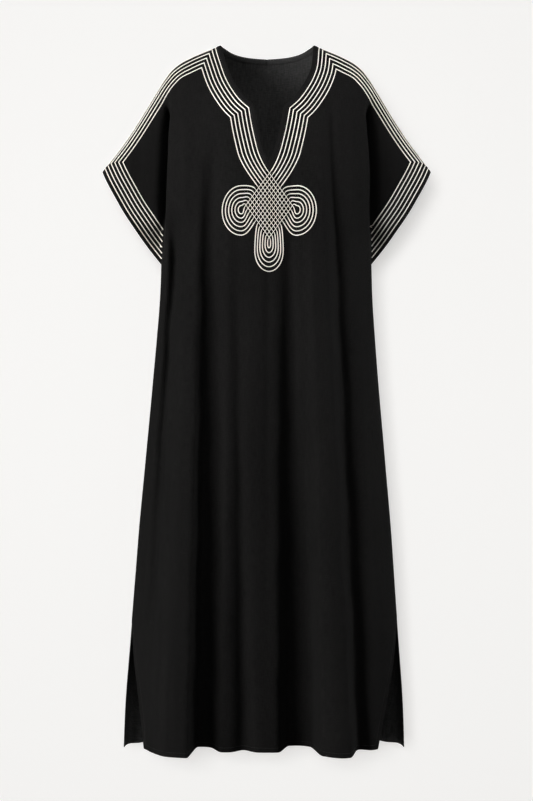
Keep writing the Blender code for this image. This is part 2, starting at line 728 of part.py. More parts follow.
def foot(sheet, point, normal):
    """Where a place above or below the cloth meets it along the normal."""
    start = Vector(point + normal * CAST_REACH)
    hit = sheet.tree.ray_cast(start, Vector(-normal), 2 * CAST_REACH)[0]
    if hit is None:
        hit = sheet.tree.find_nearest(Vector(point))[0]
    return np.array(hit)


def height_over(sheet, point):
    """How far a place stands over the cloth's nearest face."""
    hit, normal, _, away = sheet.tree.find_nearest(Vector(point))
    return away if (Vector(point) - hit).dot(normal) > 0 else -away


def normal_near(sheet, point):
    """The cloth's normal by its nearest face's corners."""
    hit, _, face, _ = sheet.tree.find_nearest(Vector(point))
    corners = sheet.faces[face]
    weight = 1.0 / (np.linalg.norm(sheet.outer[corners] - np.array(hit), axis=1) + 1e-5)
    normal = (sheet.normals[corners] * weight[:, None]).sum(0)
    return normal / np.linalg.norm(normal)


def cord(name, sheet, side, line, material):
    """A flat braid laid on the cloth along a plan line, lifted where the cloth's facets rise under it."""
    centre = place(line[:, 0], line[:, 1], side)
    normals = np.array([normal_near(sheet, p) for p in centre])
    centre = np.array([foot(sheet, p, n) for p, n in zip(centre, normals)])
    step = np.diff(centre, axis=0)
    step /= np.linalg.norm(step, axis=1)[:, None]
    before = np.vstack([step[:1], step])
    after = np.vstack([step, step[-1:]])
    ahead = before + after
    across = np.cross(normals, ahead)
    across /= np.linalg.norm(across, axis=1)[:, None]
    flat = np.cross(normals, after)
    flat /= np.linalg.norm(flat, axis=1)[:, None]
    mitre = 1.0 / np.clip((across * flat).sum(1), LEAST_MITRE, 1.0)
    rims = []
    for way in (-1, 1):
        reach = across * (way * CORD_WIDTH / 2 * mitre)[:, None]
        rims.append(np.array([foot(sheet, c + r, n) for c, r, n in zip(centre, reach, normals)]))
    inset = (1 - CORD_TOP_WIDTH / CORD_WIDTH) / 2
    lift = np.full(len(line), LAY_GAP)
    for _ in range(LIFT_ROUNDS):
        for n in range(len(line) - 1):
            a, b = (rim[n] + normals[n] * lift[n] for rim in rims)
            c, d = (rim[n + 1] + normals[n + 1] * lift[n + 1] for rim in rims)
            least = LAY_GAP
            for t in np.linspace(0.0, 1.0, LIFT_PLACES):
                sides = (a * (1 - t) + c * t, b * (1 - t) + d * t)
                slants = (a * (1 - t) + d * t, b * (1 - t) + c * t)
                up = (normals[n] * (1 - t) + normals[n + 1] * t) * CORD_HEIGHT
                spots = [*sides, *slants]
                spots += [(side + slant) / 2 for side in sides for slant in slants]
                spots += [near + (far - near) * inset + up for near, far in (sides, sides[::-1])]
                least = min(least, *(height_over(sheet, spot) for spot in spots))
            short = LAY_GAP - LIFT_SPARE - least
            if short > 0:
                lift[n] += short
                lift[n + 1] += short
    left = rims[0] + normals * lift[:, None]
    right = rims[1] + normals * lift[:, None]
    up = normals * CORD_HEIGHT
    top_right, top_left = right + (left - right) * inset + up, left + (right - left) * inset + up
    rings = np.stack([left, right, top_right, top_left], axis=1)
    count = len(line)
    faces = []
    for n in range(count - 1):
        for k in range(4):
            a, b = 4 * n + k, 4 * n + (k + 1) % 4
            faces.append((a, b, b + 4, a + 4))
    faces += [(3, 2, 1, 0), tuple(4 * (count - 1) + k for k in range(4))]
    return solid(name, rings.reshape(-1, 3), faces, material)


def binding(name, front, back, material):
    """A strip folded over the neck edge, with a leg outside and a leg inside, all the way round."""
    rows = []
    for sign in (1, -1):
        edge, rail = edge_lines(-1, sign)[0], front_neck(BINDING_RAIL, 0, sign)
        run = [(front, -1, *pair) for pair in zip(mirrored(edge, sign), mirrored(rail, sign))]
        edge, rail = edge_lines(1, sign)[0], back_neck(BINDING_RAIL)
        rear = [(back, 1, *pair) for pair in zip(mirrored(edge, sign), mirrored(rail, sign))]
        half = run + rear[::-1][1:]
        rows += half if sign > 0 else half[::-1][1:-1]
    rings = []
    near, far = LAY_GAP, LAY_GAP + BINDING_THICK
    section = [
        (BINDING_WIDTH, far),
        (BINDING_WIDTH, near),
        (-near, near),
        (-near, -WALL - near),
        (BINDING_WIDTH, -WALL - near),
        (BINDING_WIDTH, -WALL - far),
        (-far, -WALL - far),
        (-far, far),
    ]
    for sheet, side, edge_at, rail_at in rows:
        edge_n = np.linalg.norm(sheet.plan - edge_at, axis=1).argmin()
        rail_n = np.linalg.norm(sheet.plan - rail_at, axis=1).argmin()
        into = sheet.outer[rail_n] - sheet.outer[edge_n]
        unit = into / BINDING_RAIL
        normal = sheet.normals[edge_n] + sheet.normals[rail_n]
        normal /= np.linalg.norm(normal)
        unit = unit - normal * (unit @ normal)
        base = sheet.outer[edge_n]
        rings.append([base + unit * a + normal * b for a, b in section])
    count, size = len(rings), len(section)
    faces = []
    for n in range(count):
        for k in range(size):
            here, after = size * n, size * ((n + 1) % count)
            faces.append((here + k, here + (k + 1) % size, after + (k + 1) % size, after + k))
    return solid(name, np.array(rings).reshape(-1, 3), faces, material, True)


def side_turn(turn, sign):
    """One turn of a side loop, from the diamond's upper side round to its lower side."""
    loop = SIDE_LOOP
    corner = TO_SIDE
    share = (turn - 0.5) / KNOT_STRANDS
    upper = corner + (TO_TOP - corner) * share
    lower = corner + (-TO_TOP - corner) * share
    leave = (TO_SIDE + TO_TOP) / np.linalg.norm(TO_SIDE + TO_TOP)
    reach = loop.reach + loop.reach_step * (turn - 1)
    top = loop.top + loop.top_step * (turn - 1)
    down = loop.foot + loop.foot_step * (turn - 1)
    middle, tall, wide = (top - down) / 2, (top + down) / 2, reach - SIDE_LOOP_TURN
    angle = np.linspace(math.pi / 2, -math.pi / 2, CURVE_POINTS)
    bow = np.stack([SIDE_LOOP_TURN + wide * np.cos(angle), middle + tall * np.sin(angle)], axis=1)
    size = np.linalg.norm(bow[0] - upper)
    out = cubic(upper, leave * size, bow[0], np.array([1.0, 0]) * size)
    size = np.linalg.norm(bow[-1] - lower)
    home = cubic(bow[-1], np.array([-1.0, 0]) * size, lower, np.array([-leave[0], leave[1]]) * size)
    line = np.vstack([out[:-1], bow, home[1:]])
    return mirrored(line, sign) + np.array([KNOT_X, KNOT_Z])


def foot_turn(turn):
    """One turn of the loop under the diamond."""
    corner = -TO_TOP
    share = (turn - 0.5) / KNOT_STRANDS
    start = corner + (-TO_SIDE - corner) * share
    half = FOOT_LOOP_HALF + FOOT_LOOP_STEP * (turn - 1)
    wide_z = -FOOT_LOOP_WIDEST - FOOT_LOOP_WIDEST_STEP * (turn - 1)
    end = -FOOT_LOOP_END - FOOT_LOOP_END_STEP * (turn - 1)
    leave = -(TO_SIDE + TO_TOP) / np.linalg.norm(TO_SIDE + TO_TOP)
    size = np.linalg.norm(start - np.array([-half, wide_z]))
    out = cubic(start, leave * size, np.array([-half, wide_z]), np.array([0, -1.0]) * size)
    angle = np.linspace(math.pi, 1.5 * math.pi, BOW_POINTS)
    bow = np.stack([half * np.cos(angle), wide_z + (wide_z - end) * np.sin(angle)], axis=1)
    left = np.vstack([out[:-1], bow])
    right = mirrored(left[::-1][1:], -1)
    return np.vstack([left, right]) + np.array([KNOT_X, KNOT_Z])


def knot_centre(name, sheet, material):
    """The woven diamond: high where two strands cross, low in the gaps between them."""
    def spot(i, j):
        left = (-TO_SIDE - TO_TOP) * i / KNOT_STRANDS
        right = (TO_SIDE - TO_TOP) * j / KNOT_STRANDS
        return (TO_TOP + left + right) * DIAMOND_INSET + np.array([KNOT_X, KNOT_Z])

    size = KNOT_STRANDS + 1
    low = [spot(i, j) for i in range(size) for j in range(size)]
    high = [spot(i + 0.5, j + 0.5) for i in range(KNOT_STRANDS) for j in range(KNOT_STRANDS)]
    plan = np.array(low + high)
    centre = place(plan[:, 0], plan[:, 1], -1)
    normals = np.array([normal_near(sheet, p) for p in centre])
    base = np.array([foot(sheet, p, n) for p, n in zip(centre, normals)])
    tall = np.array([STRAND_LOW] * len(low) + [STRAND_HIGH] * len(high))
    lift = LAY_GAP + PLATE_EXTRA
    top = base + normals * (lift + tall)[:, None]
    under = (base + normals * lift)[: len(low)]
    total = len(top)
    faces = []
    for i in range(KNOT_STRANDS):
        for j in range(KNOT_STRANDS):
            a, b = i * size + j, i * size + j + 1
            c, d = b + size, a + size
            middle = len(low) + i * KNOT_STRANDS + j
            faces += [(middle, a, d), (middle, d, c), (middle, c, b), (middle, b, a)]
            faces += [(total + a, total + b, total + c), (total + a, total + c, total + d)]
    rim = list(range(size))
    rim += [i * size + size - 1 for i in range(1, size)]
    rim += [(size - 1) * size + j for j in range(size - 2, -1, -1)]
    rim += [i * size for i in range(size - 2, 0, -1)]
    for a, b in zip(rim, rim[1:] + rim[:1]):
        faces.append((a, b, total + b, total + a))
    return solid(name, np.vstack([top, under]), faces, material)


def finish(name, colour, roughness):
    """A plain Principled material."""
    made = bpy.data.materials.new(name)
    made.use_nodes = True
    shader = made.node_tree.nodes["Principled BSDF"]
    shader.inputs["Base Color"].default_value = (*colour, 1.0)
    shader.inputs["Roughness"].default_value = roughness
    shader.inputs["Metallic"].default_value = 0.0
    return made


def build():
    """The whole garment."""
    black = finish("black cloth", (0.0075, 0.0070, 0.0068), 0.85)
    edge = finish("black binding", (0.0080, 0.0075, 0.0072), 0.80)
    cream = finish("cream cord", (0.82, 0.74, 0.62), 0.65)
    front, back = cloth(-1), cloth(1)
    panel("front_panel", front, black)
    panel("back_panel", back, black)
    binding("neck_binding", front, back, edge)
    for sign, where in ((-1, "left"), (1, "right")):
        cord(f"neck_cord_1_{where}", front, -1, mirrored(front_neck(FIRST_NECK, 0.5, sign), sign), cream)
        for n, row in enumerate(BORDER):
            line = mirrored(front_border(row, n + 1.5, sign), sign)
            cord(f"border_cord_{n + 1}_{where}", front, -1, line, cream)
        line = mirrored(cuff_line(FIRST_CUFF), sign)
        cord(f"cuff_cord_{where}", front, -1, line, cream)
        cord(f"cuff_cord_{where}_back", back, 1, line, cream)
        for turn in range(1, LOOP_CORDS + 1):
            line = evenly(side_turn(turn, sign), SIDE_TURN_STATIONS + 2 * turn)
            cord(f"knot_{where}_{turn}", front, -1, line, cream)
    for turn in range(1, LOOP_CORDS + 1):
        line = evenly(foot_turn(turn), FOOT_TURN_STATIONS + turn)
        cord(f"knot_foot_{turn}", front, -1, line, cream)
    knot_centre("knot_centre", front, cream)
    half = back_neck(FIRST_NECK)
    cord("neck_cord_1_back", back, 1, np.vstack([mirrored(half, -1)[::-1], half[1:]]), cream)
    for n, row in enumerate(BORDER):
        half = back_border(row, (n + 0.5) * BACK_NECK_EXTRA)
        cord(f"border_cord_{n + 1}_back", back, 1, np.vstack([mirrored(half, -1)[::-1], half[1:]]), cream)


for old in list(bpy.data.objects):
    bpy.data.objects.remove(old, do_unlink=True)
build()
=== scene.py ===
"""The looks of a long black kaftan with couched cord borders and a woven knot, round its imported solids.

Metres, in the frame of the solids: +Z up, the front faces -Y, the origin lies between the shoulders at the
height of the neck points. Each side of the garment is a depth over its front view plan (x, z), as in the
part's source. One side's plan has x positive outward, and its lines run with cloth on their right.
"""

import math
from collections import namedtuple

import bpy
import numpy as np
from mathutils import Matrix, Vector, noise
from mathutils.bvhtree import BVHTree
from mathutils.geometry import delaunay_2d_cdt
from mathutils.kdtree import KDTree


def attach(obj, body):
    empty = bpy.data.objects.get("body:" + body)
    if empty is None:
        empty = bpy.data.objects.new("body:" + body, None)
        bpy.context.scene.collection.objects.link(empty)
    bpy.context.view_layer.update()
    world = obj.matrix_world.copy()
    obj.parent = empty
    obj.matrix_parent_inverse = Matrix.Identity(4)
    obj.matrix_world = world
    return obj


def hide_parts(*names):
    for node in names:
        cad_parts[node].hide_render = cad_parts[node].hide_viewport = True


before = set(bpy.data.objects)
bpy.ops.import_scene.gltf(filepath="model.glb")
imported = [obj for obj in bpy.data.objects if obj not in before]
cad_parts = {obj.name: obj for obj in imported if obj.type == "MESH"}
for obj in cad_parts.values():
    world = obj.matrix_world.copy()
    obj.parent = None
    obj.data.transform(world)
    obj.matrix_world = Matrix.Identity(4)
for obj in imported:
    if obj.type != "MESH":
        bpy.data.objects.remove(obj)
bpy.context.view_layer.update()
FRONT, BACK = -1, 1
LEFT, RIGHT = -1, 1
SIDES = {LEFT: "left", RIGHT: "right"}


def table(columns, *rows):
    """Rows of values under named columns."""
    row = namedtuple("Row", columns)
    return [row(*values) for values in rows]


# Lengths of the garment, down from the neck points
UNDERARM_Z = -0.438
SLIT_TOP_Z = -1.140
HEM_Z = {FRONT: -1.383, BACK: -1.402}
LEAN_AT_HEM = -0.0066
LEAN_MOST = 1.05

# Cloth: its wall, the gap at the seams, the layer turned in at hems, slits and cuffs, and its stitches
WALL = 0.0010
SEAM_GAP = 0.0002
SEAM_DIP = 0.0005
TURNED_IN = 0.0100
TURNED_WALL = 0.0009
PRESS_RUN = 0.0008
STITCH_INSET = 0.0088
STITCH_DIP = 0.00030
STITCH_DIP_RUN = 0.0007

# Shoulder and upper sleeve seam, one side: half width, height, radius of its roll
SEAM = table(
    "x z roll",
    (0.000, 0.0340, 0.012),
    (0.0933, 0.000, 0.012),
    (0.124, -0.012, 0.012),
    (0.154, -0.025, 0.013),
    (0.176, -0.037, 0.015),
    (0.192, -0.051, 0.018),
    (0.206, -0.070, 0.021),
    (0.2245, -0.100, 0.024),
    (0.244, -0.132, 0.025),
    (0.284, -0.194, 0.025),
    (0.328, -0.252, 0.022),
)

# Sleeve edge from its tip to the underarm
CUFF = table(
    "x z",
    (0.3280, -0.252),
    (0.3165, -0.276),
    (0.2990, -0.308),
    (0.2805, -0.340),
    (0.2590, -0.372),
    (0.2365, -0.404),
    (0.2095, -0.438),
)

# Neck edge, half widths: the round part, the slit below its notch, and the back
NECK_ROUND = table(
    "x z",
    (0.0933, 0.000),
    (0.0882, -0.030),
    (0.0822, -0.0567),
    (0.0739, -0.0796),
    (0.0633, -0.0998),
    (0.0497, -0.120),
    (0.0296, -0.140),
)
NECK_SLIT = table(
    "x z",
    (0.0296, -0.140),
    (0.0274, -0.154),
    (0.0231, -0.179),
    (0.0173, -0.206),
    (0.0108, -0.231),
    (0.0000, -0.2566),
)
NECK_BACK = table(
    "x z",
    (0.0933, 0.000),
    (0.0845, -0.0037),
    (0.0760, -0.0077),
    (0.0675, -0.0107),
    (0.0570, -0.0131),
    (0.0460, -0.0146),
    (0.0260, -0.0158),
    (0.0120, -0.0160),
    (0.0000, -0.0160),
)
NECK_SHIFT = 0.0044
NECK_SHIFT_FALL = 0.060
SLEEVE_STARTS_X = 0.165
SLEEVE_EASE = 0.060

# The body's section by height: half width at the side seam, depth of the front and of the back
SECTIONS = table(
    "z half front back",
    (-1.450, 0.282, 0.117, 0.125),
    (-1.308, 0.277, 0.120, 0.124),
    (-1.188, 0.268, 0.122, 0.122),
    (-1.068, 0.259, 0.124, 0.118),
    (-0.948, 0.250, 0.125, 0.113),
    (-0.828, 0.239, 0.127, 0.108),
    (-0.708, 0.228, 0.129, 0.105),
    (-0.588, 0.218, 0.131, 0.106),
    (-0.508, 0.212, 0.132, 0.109),
    (-0.438, 0.2095, 0.133, 0.113),
    (-0.300, 0.2095, 0.131, 0.116),
    (-0.200, 0.2095, 0.125, 0.113),
    (-0.100, 0.2095, 0.110, 0.098),
    (0.050, 0.2095, 0.085, 0.070),
)

# Front edge of each side slit: share of the half width, by height, on the left and on the right
SLIT = table(
    "z left right",
    (-1.140, 1.000, 1.000),
    (-1.175, 0.975, 0.972),
    (-1.220, 0.945, 0.935),
    (-1.290, 0.890, 0.868),
    (-1.383, 0.832, 0.788),
)

# Folds: place across at the start and at the hem, start height, spread at both, depth at both.
# A ridge is positive and a valley is negative.
FOLD = "x_top x_hem z_top spread_top spread_hem rise_top rise_hem"
FRONT_FOLDS = table(
    FOLD,
    (-0.179, -0.230, -0.440, 0.012, 0.013, -0.040, -0.004),
    (-0.104, -0.118, -0.290, 0.013, 0.016, -0.007, -0.004),
    (-0.056, -0.039, -0.420, 0.012, 0.015, -0.003, -0.018),
    (0.003, 0.004, -0.460, 0.007, 0.007, -0.0034, 0.000),
    (0.026, 0.040, -0.380, 0.024, 0.020, -0.008, 0.000),
    (0.046, 0.060, -0.220, 0.008, 0.018, -0.005, -0.004),
    (0.125, 0.184, -0.200, 0.010, 0.014, -0.014, -0.008),
    (0.174, 0.209, -0.300, 0.012, 0.014, 0.002, 0.006),
)
BACK_FOLDS = table(
    FOLD,
    (-0.150, -0.212, -0.300, 0.020, 0.026, 0.003, 0.026),
    (-0.108, -0.148, -0.260, 0.014, 0.022, -0.004, -0.036),
    (-0.062, -0.090, -0.320, 0.020, 0.024, 0.002, 0.024),
    (-0.020, -0.036, -0.340, 0.016, 0.018, -0.002, -0.026),
    (0.026, 0.020, -0.320, 0.022, 0.026, 0.002, 0.020),
    (0.072, 0.086, -0.280, 0.014, 0.024, -0.004, -0.040),
    (0.118, 0.152, -0.300, 0.020, 0.026, 0.003, 0.032),
    (0.160, 0.214, -0.280, 0.012, 0.020, -0.005, -0.022),
    (-0.230, -0.252, -1.000, 0.018, 0.026, 0.000, -0.040),
    (0.230, 0.252, -1.000, 0.018, 0.024, 0.000, -0.032),
)

# Pleats of the front, flat-topped: both edges at the start and at the hem, start height, how wide
# each edge's slope is, and rise at both
FRONT_PLEATS = table(
    "left_top left_hem right_top right_hem z_top run_left run_right rise_top rise_hem",
    (-0.165, -0.218, -0.121, -0.138, -0.300, 0.070, 0.017, 0.004, 0.044),
    (-0.121, -0.138, -0.078, -0.093, -0.300, 0.017, 0.026, -0.003, -0.038),
    (-0.078, -0.093, 0.032, 0.037, -0.350, 0.026, 0.024, 0.000, -0.006),
    (0.032, 0.037, 0.078, 0.102, -0.380, 0.022, 0.022, -0.002, -0.052),
    (0.070, 0.112, 0.111, 0.172, -0.240, 0.080, 0.020, 0.010, 0.046),
)

# Sleeves and the crease between body and sleeve
SLEEVE_DEPTH = 0.032
SLEEVE_LEAST = 0.0045
SLEEVE_CLOSING = 0.085
UNDERARM_JOIN = 0.090
CREASE = table(
    "z left right",
    (-0.108, 0.182, 0.188),
    (-0.188, 0.189, 0.193),
    (-0.228, 0.190, 0.196),
    (-0.358, 0.195, 0.199),
    (-0.438, 0.199, 0.202),
)
CREASE_RUN = 0.007
CREASE_SOFT_RUN = 0.035
CREASE_SHARP_Z = -0.150
CREASE_SHARPENS = 0.070
CREASE_HOLLOW = 0.45
CREASE_HOLLOW_MORE = 0.45
CREASE_DEEP_FROM = -0.110
CREASE_DEEP_TO = -0.370
CREASE_DEEPENS = 0.060
CREASE_SPREAD = 0.009
CHEST_REACH = 0.300
CHEST_SQUARE = 2.2
CHEST_LEAST = 0.01
OVAL_SQUARE = 2.6
OVAL_ROUND = 2.2
OVAL_FADE = 1.6
RIDGE_BLEND = 4.0
LEAST_DEPTH = 1e-7
FOLD_FADE_IN = 8.0
CHEST_EASE = 0.200
SHOULDER_SLOPE = {FRONT: 0.60, BACK: 0.70}

# Soft creases in the cloth: both ends in plan, how far it bows sideways, half width, and depth
# (a ridge is positive, a trough is negative)
SOFT = "x1 z1 x2 z2 bow spread rise"
FRONT_SOFT = table(
    SOFT,
    (-0.172, -0.100, -0.166, -0.330, 0.002, 0.0060, -0.0040),
    (-0.158, -0.120, -0.152, -0.420, -0.003, 0.0080, 0.0024),
    (-0.136, -0.110, -0.140, -0.290, 0.002, 0.0060, -0.0028),
    (-0.108, -0.160, -0.112, -0.330, -0.003, 0.0080, 0.0018),
    (0.124, -0.080, 0.130, -0.230, -0.004, 0.0060, -0.0030),
    (0.146, -0.090, 0.152, -0.300, -0.002, 0.0065, -0.0030),
    (0.164, -0.130, 0.160, -0.460, 0.003, 0.0075, 0.0026),
    (0.108, -0.150, 0.112, -0.360, 0.002, 0.0060, -0.0018),
    (-0.044, -0.440, -0.038, -0.640, 0.002, 0.0045, -0.0016),
    (0.036, -0.480, 0.044, -0.700, -0.003, 0.0040, -0.0018),
    (0.056, -0.520, 0.050, -0.780, 0.003, 0.0045, -0.0014),
)
BACK_SOFT = table(
    SOFT,
    (-0.150, -0.130, -0.146, -0.420, 0.003, 0.0070, -0.0022),
    (0.152, -0.110, 0.148, -0.380, -0.003, 0.0070, -0.0024),
)

# Sideways wander of the folds: how far, how many radians a metre down, and where it fades in
SWAY = 0.0010
SWAY_SLOW = 29.0
SWAY_QUICK = 57.0
SWAY_QUICK_SHARE = 0.55
SWAY_LEAN = 38.0
SWAY_FROM_Z = -0.380
SWAY_FADE = 0.150

# Small unevenness of the cloth
WANDER = 0.0010
WANDER_SIZE = 0.055
WANDER_TALL = 3.0
WANDER_SHIFT = Vector((3.1, 7.7, 1.3))

# Border cords, by their distance from the edge in plan: neck, shoulder, sleeve and cuff
BORDER = table(
    "neck shoulder sleeve cuff",
    (0.0183, 0.0025, 0.0028, 0.0155),
    (0.0257, 0.0105, 0.0068, 0.0230),
    (0.0331, 0.0190, 0.0125, 0.0305),
    (0.0405, 0.0275, 0.0192, 0.0380),
    (0.0479, 0.0360, 0.0262, 0.0455),
)
FIRST_NECK = 0.0109
FIRST_CUFF = 0.0080
CURVE_IN_Z = -0.232
CUFF_END_CLEAR = 0.0085
BACK_NECK_EXTRA = 0.0006

# Knot, from its centre. Loops are given by their first turn and the step from each turn to the next:
# how far out a side loop reaches, its height and its depth; and how wide half the foot loop is, how
# far down it is widest, and how far down it ends
KNOT = np.array([0.0052, -0.3375])
DIAMOND_HALF_WIDTH = 0.0482
DIAMOND_HALF_HEIGHT = 0.0668
KNOT_STRANDS = 12
TURNS = range(1, 7)
SIDE_LOOP = ((0.0590, 0.0061), (-0.0005, 0.0076), (0.0165, 0.0081))
SIDE_LOOP_TURN = 0.0530
FOOT_LEAVES = 0.30
FOOT_LOOP = ((0.0030, 0.0048), (0.0730, 0.0028), (0.0813, 0.0089))

# Cord: a flat braid with a groove down its middle, as shares of its half width and height
CORD_HALF = 0.00092
CORD_TALL = 0.00140
CORD_HALF_SECTION = [(0.12, 0.80), (0.42, 1.00), (0.74, 0.92), (0.98, 0.50), (1.00, 0.00)]
CORD_SECTION = [(-a, b) for a, b in CORD_HALF_SECTION[::-1]] + CORD_HALF_SECTION
CORD_SUNK = 0.00025
CORD_STEP = 0.0024
STRAND_HALF = 0.00052
STRAND_TALL = 0.00085
STRAND_LIFT = 0.00038
STRAND_STEP = 0.0011
TAPER_RUN = 0.0050

# Binding: a folded strip, as distances along the cloth from its edge and out from its outside,
# with the place of its stitches, and the height below which its wrong side's painted lighter tones begin
BINDING_RAIL = 0.0090
BINDING_STEP = 0.0030
BINDING_SECTION = [
    (0.0082, 0.0002),
    (0.0080, 0.0008),
    (0.0070, 0.0010),
    (0.0045, 0.0013),
    (0.0018, 0.0013),
    (0.0003, 0.0011),
    (-0.0007, 0.0005),
    (-0.0010, -0.0005),
    (-0.0007, -0.0015),
    (0.0003, -0.0021),
    (0.0018, -0.0023),
    (0.0045, -0.0023),
    (0.0070, -0.0020),
    (0.0080, -0.0018),
    (0.0082, -0.0012),
    (-0.0002, -0.0012),
    (-0.0002, 0.0002),
]
BINDING_SEWN = BINDING_SECTION[2]
BINDING_INNER = BINDING_SECTION[-2][1]

# Finishes: repeats in metres, tones from dark to light, grain by thread place, and shares of relief
CLOTH_PITCH = 0.0012
BINDING_PITCH = 0.0011
BRAID_PITCH = 0.0016
CLOTH_TONES = ((0.36, (0.0026, 0.0025, 0.0024)), (0.64, (0.0080, 0.0077, 0.0074)))
# The wrong side's tones are painted light: far lighter than the cloth, they stand in for light falling on the
# inside, seen through the neck and the slits
WRONG_SIDE_PAINTED_LIGHT_TONES = ((0.36, (0.0205, 0.0203, 0.0200)), (0.64, (0.0480, 0.0474, 0.0468)))
BINDING_TONES = ((0.30, (0.0030, 0.0029, 0.0028)), (0.70, (0.0080, 0.0077, 0.0074)))
WEFT_GRAIN = (110.0, 480.0, 1.0)
WARP_GRAIN = (480.0, 60.0, 1.0)
SLOW_GRAIN = (9.0, 3.0, 1.0)
FINE_DETAIL = 2.0
SLOW_DETAIL = 3.0
SLOW_SHARE = 0.25
CROSS_RELIEF = 0.25
SLUB_RELIEF = 1.4
CLOTH_RELIEF_TALL = 0.0005
# The cord's dark tones are painted shade, taken in its middle groove and between its strands; its grain's
# changes of tone are its own
CORD_TONES_WITH_PAINTED_SHADE = ((0.20, (0.52, 0.45, 0.36)), (0.55, (0.88, 0.83, 0.75)), (0.95, (0.93, 0.89, 0.83)))
BRAID_SLANT = 0.9 * math.pi
BRAID_GRAIN = (60.0, 0.4, 1.0)
BRAID_SLOW = 0.30
BRAID_RELIEF_AND_SHADE = 0.75
STRAND_SHADE = 0.35
GROOVE_SHADE_SHARPNESS = 6.0
BRAID_RELIEF_TALL = 0.0004
THREAD_GRAIN = 900.0
THREAD_TONES = ((0.30, (0.0060, 0.0057, 0.0054)), (0.70, (0.0110, 0.0104, 0.0098)))

# Studio: the paper's own glow and its colour under light, the light around, the lights and the camera
MIDDLE = (0.0, 0.0, -0.70)
WALL_Y = 0.190
FLOOR_Z = -1.620
PAPER_REACH = 9.0
PAPER = (0.60, 0.596, 0.588)
PAPER_GLOW = (0.913, 0.902, 0.886)
PAPER_GLOW_STRENGTH = 0.62
DISTANT_GLOW_STRENGTH = 0.96
AROUND = (0.95, 0.945, 0.935)
AROUND_STRENGTH = 0.08
LIGHTS = table(
    "name x y z wide tall watts on_paper",
    ("key", -3.4, -2.6, -0.15, 3.0, 2.4, 262.0, False),
    ("top", 0.0, -0.75, 0.75, 0.9, 0.5, 8.0, False),
    ("front", 0.6, -3.0, -0.9, 1.6, 1.6, 9.0, False),
    ("right", 2.7, -0.5, -0.15, 0.7, 1.4, 54.0, False),
    ("rear", 0.3, 3.4, 0.2, 1.6, 1.6, 60.0, False),
    ("paper", -0.31, -3.7, -0.42, 0.8, 0.8, 84.0, True),
)
CAMERA_LENS = 58.43
CAMERA_SENSOR = 36.0
CAMERA_AT = (-0.0016, -2.6, -0.709)

# Stitches
STITCH_LONG = 0.0026
STITCH_PITCH = 0.0036
STITCH_THICK = 0.00028
STITCH_SIDES = 6
STITCH_STATIONS = np.array([0.0, 0.15, 0.5, 0.85, 1.0])
STITCH_SWELL = (0.35, 0.85, 1.0, 0.85, 0.35)
STITCH_SUNK = 0.35

# Small waves of the cloth along a stitched line
PUCKER = 0.0085
PUCKER_TALL = 0.00016
PUCKER_RUN = 0.0045

# Distances of the mesh's own lines from turned edges, which of them is stitched, and distances from the
# shoulder seam
STITCHED = 4
EDGE_LINES = np.array([0.0, 0.0012, 0.0045, 0.0080, 0.0088, 0.0096, 0.0104])
RIDGE_LINES = (0.0006, 0.0014, 0.0028, 0.0048, 0.0075, 0.0110, 0.0150, 0.0200)

# Sampling, and sizes that count as nothing
DENSE = 200
CURVE_POINTS = 40
BOW_POINTS = 40
RUN_ON = 0.02
SLOPE_STEP = 0.002
ON_SEAM = 1e-6
ON_END = 1e-9
PARALLEL = 1e-16
LEVEL = 1e-12
SAME_PLACE = 1e-7
TINY = 1e-30
CLEAR_OF_MIDDLE = 0.0010
EDGE_STEP = 0.0030
LINE_PROBE = EDGE_STEP / 3
RIDGE_EVERY = 3
ROW_STEP = 0.0052
ACROSS_STEP = 0.0052
CLEAR_OF_LINES = 0.0023
LEAST_MITRE = 0.45
PLAN_STEP = 0.0004
PLAN_STEPS = PLAN_STEP * np.eye(2)
SKIRT_REACH = 0.640
ROW_PROBES = 801
AT_ONCE = 2000
EASINGS = 2
SEAM_PROBE = 0.0010
THREAD_PROBES = 12
STEEPEST = 400.0
WANDER_CLEAR = 0.020
CAST_REACH = 0.008


def smooth(value):
    """0 below 0, 1 above 1, and an even ramp between."""
    t = np.clip(value, 0.0, 1.0)
    return t * t * (3.0 - 2.0 * t)


def through(at, known, values):
    """A smooth curve through a table's values, read at any places."""
    order = np.argsort(known)
    k = np.asarray(known, float)[order]
    v = np.asarray(values, float)[order]
    slope = np.gradient(v, k)
    at = np.clip(at, k[0], k[-1])
    i = np.clip(np.searchsorted(k, at) - 1, 0, len(k) - 2)
    step = k[i + 1] - k[i]
    t = (at - k[i]) / step
    a = (1 + 2 * t) * (1 - t) ** 2 * v[i] + t * (1 - t) ** 2 * step * slope[i]
    b = t * t * (3 - 2 * t) * v[i + 1] - t * t * (1 - t) * step * slope[i + 1]
    return a + b


def read(rows, name, at, key="z"):
    """A column of a table as a smooth curve along another of its columns."""
    return through(at, [getattr(row, key) for row in rows], [getattr(row, name) for row in rows])


def mix(first, last, t):
    """A value at a share of the way from a first to a last one."""
    return first + (last - first) * t


def bell(value):
    """1 at 0, with soft slopes on both sides."""
    return np.exp(-(value**2))


def unit(vectors):
    """The same directions at length 1."""
    return vectors / np.linalg.norm(vectors, axis=1)[:, None]


def turned(first, second):
    """How far plan vectors turn from the first to the second, times both lengths."""
    return first[..., 0] * second[..., 1] - first[..., 1] * second[..., 0]


def lean(z):
    """How far the centre line has drifted to the left at a height."""
    return LEAN_AT_HEM * np.clip(z / HEM_Z[FRONT], 0.0, LEAN_MOST)


def half_width(z):
    return read(SECTIONS, "half", z)


def crease_line(z, sign):
    """How far out the body's edge lies, over the sleeve."""
    return read(CREASE, SIDES[sign], z)


def seam_height(x):
    return read(SEAM, "z", np.abs(x), "x")


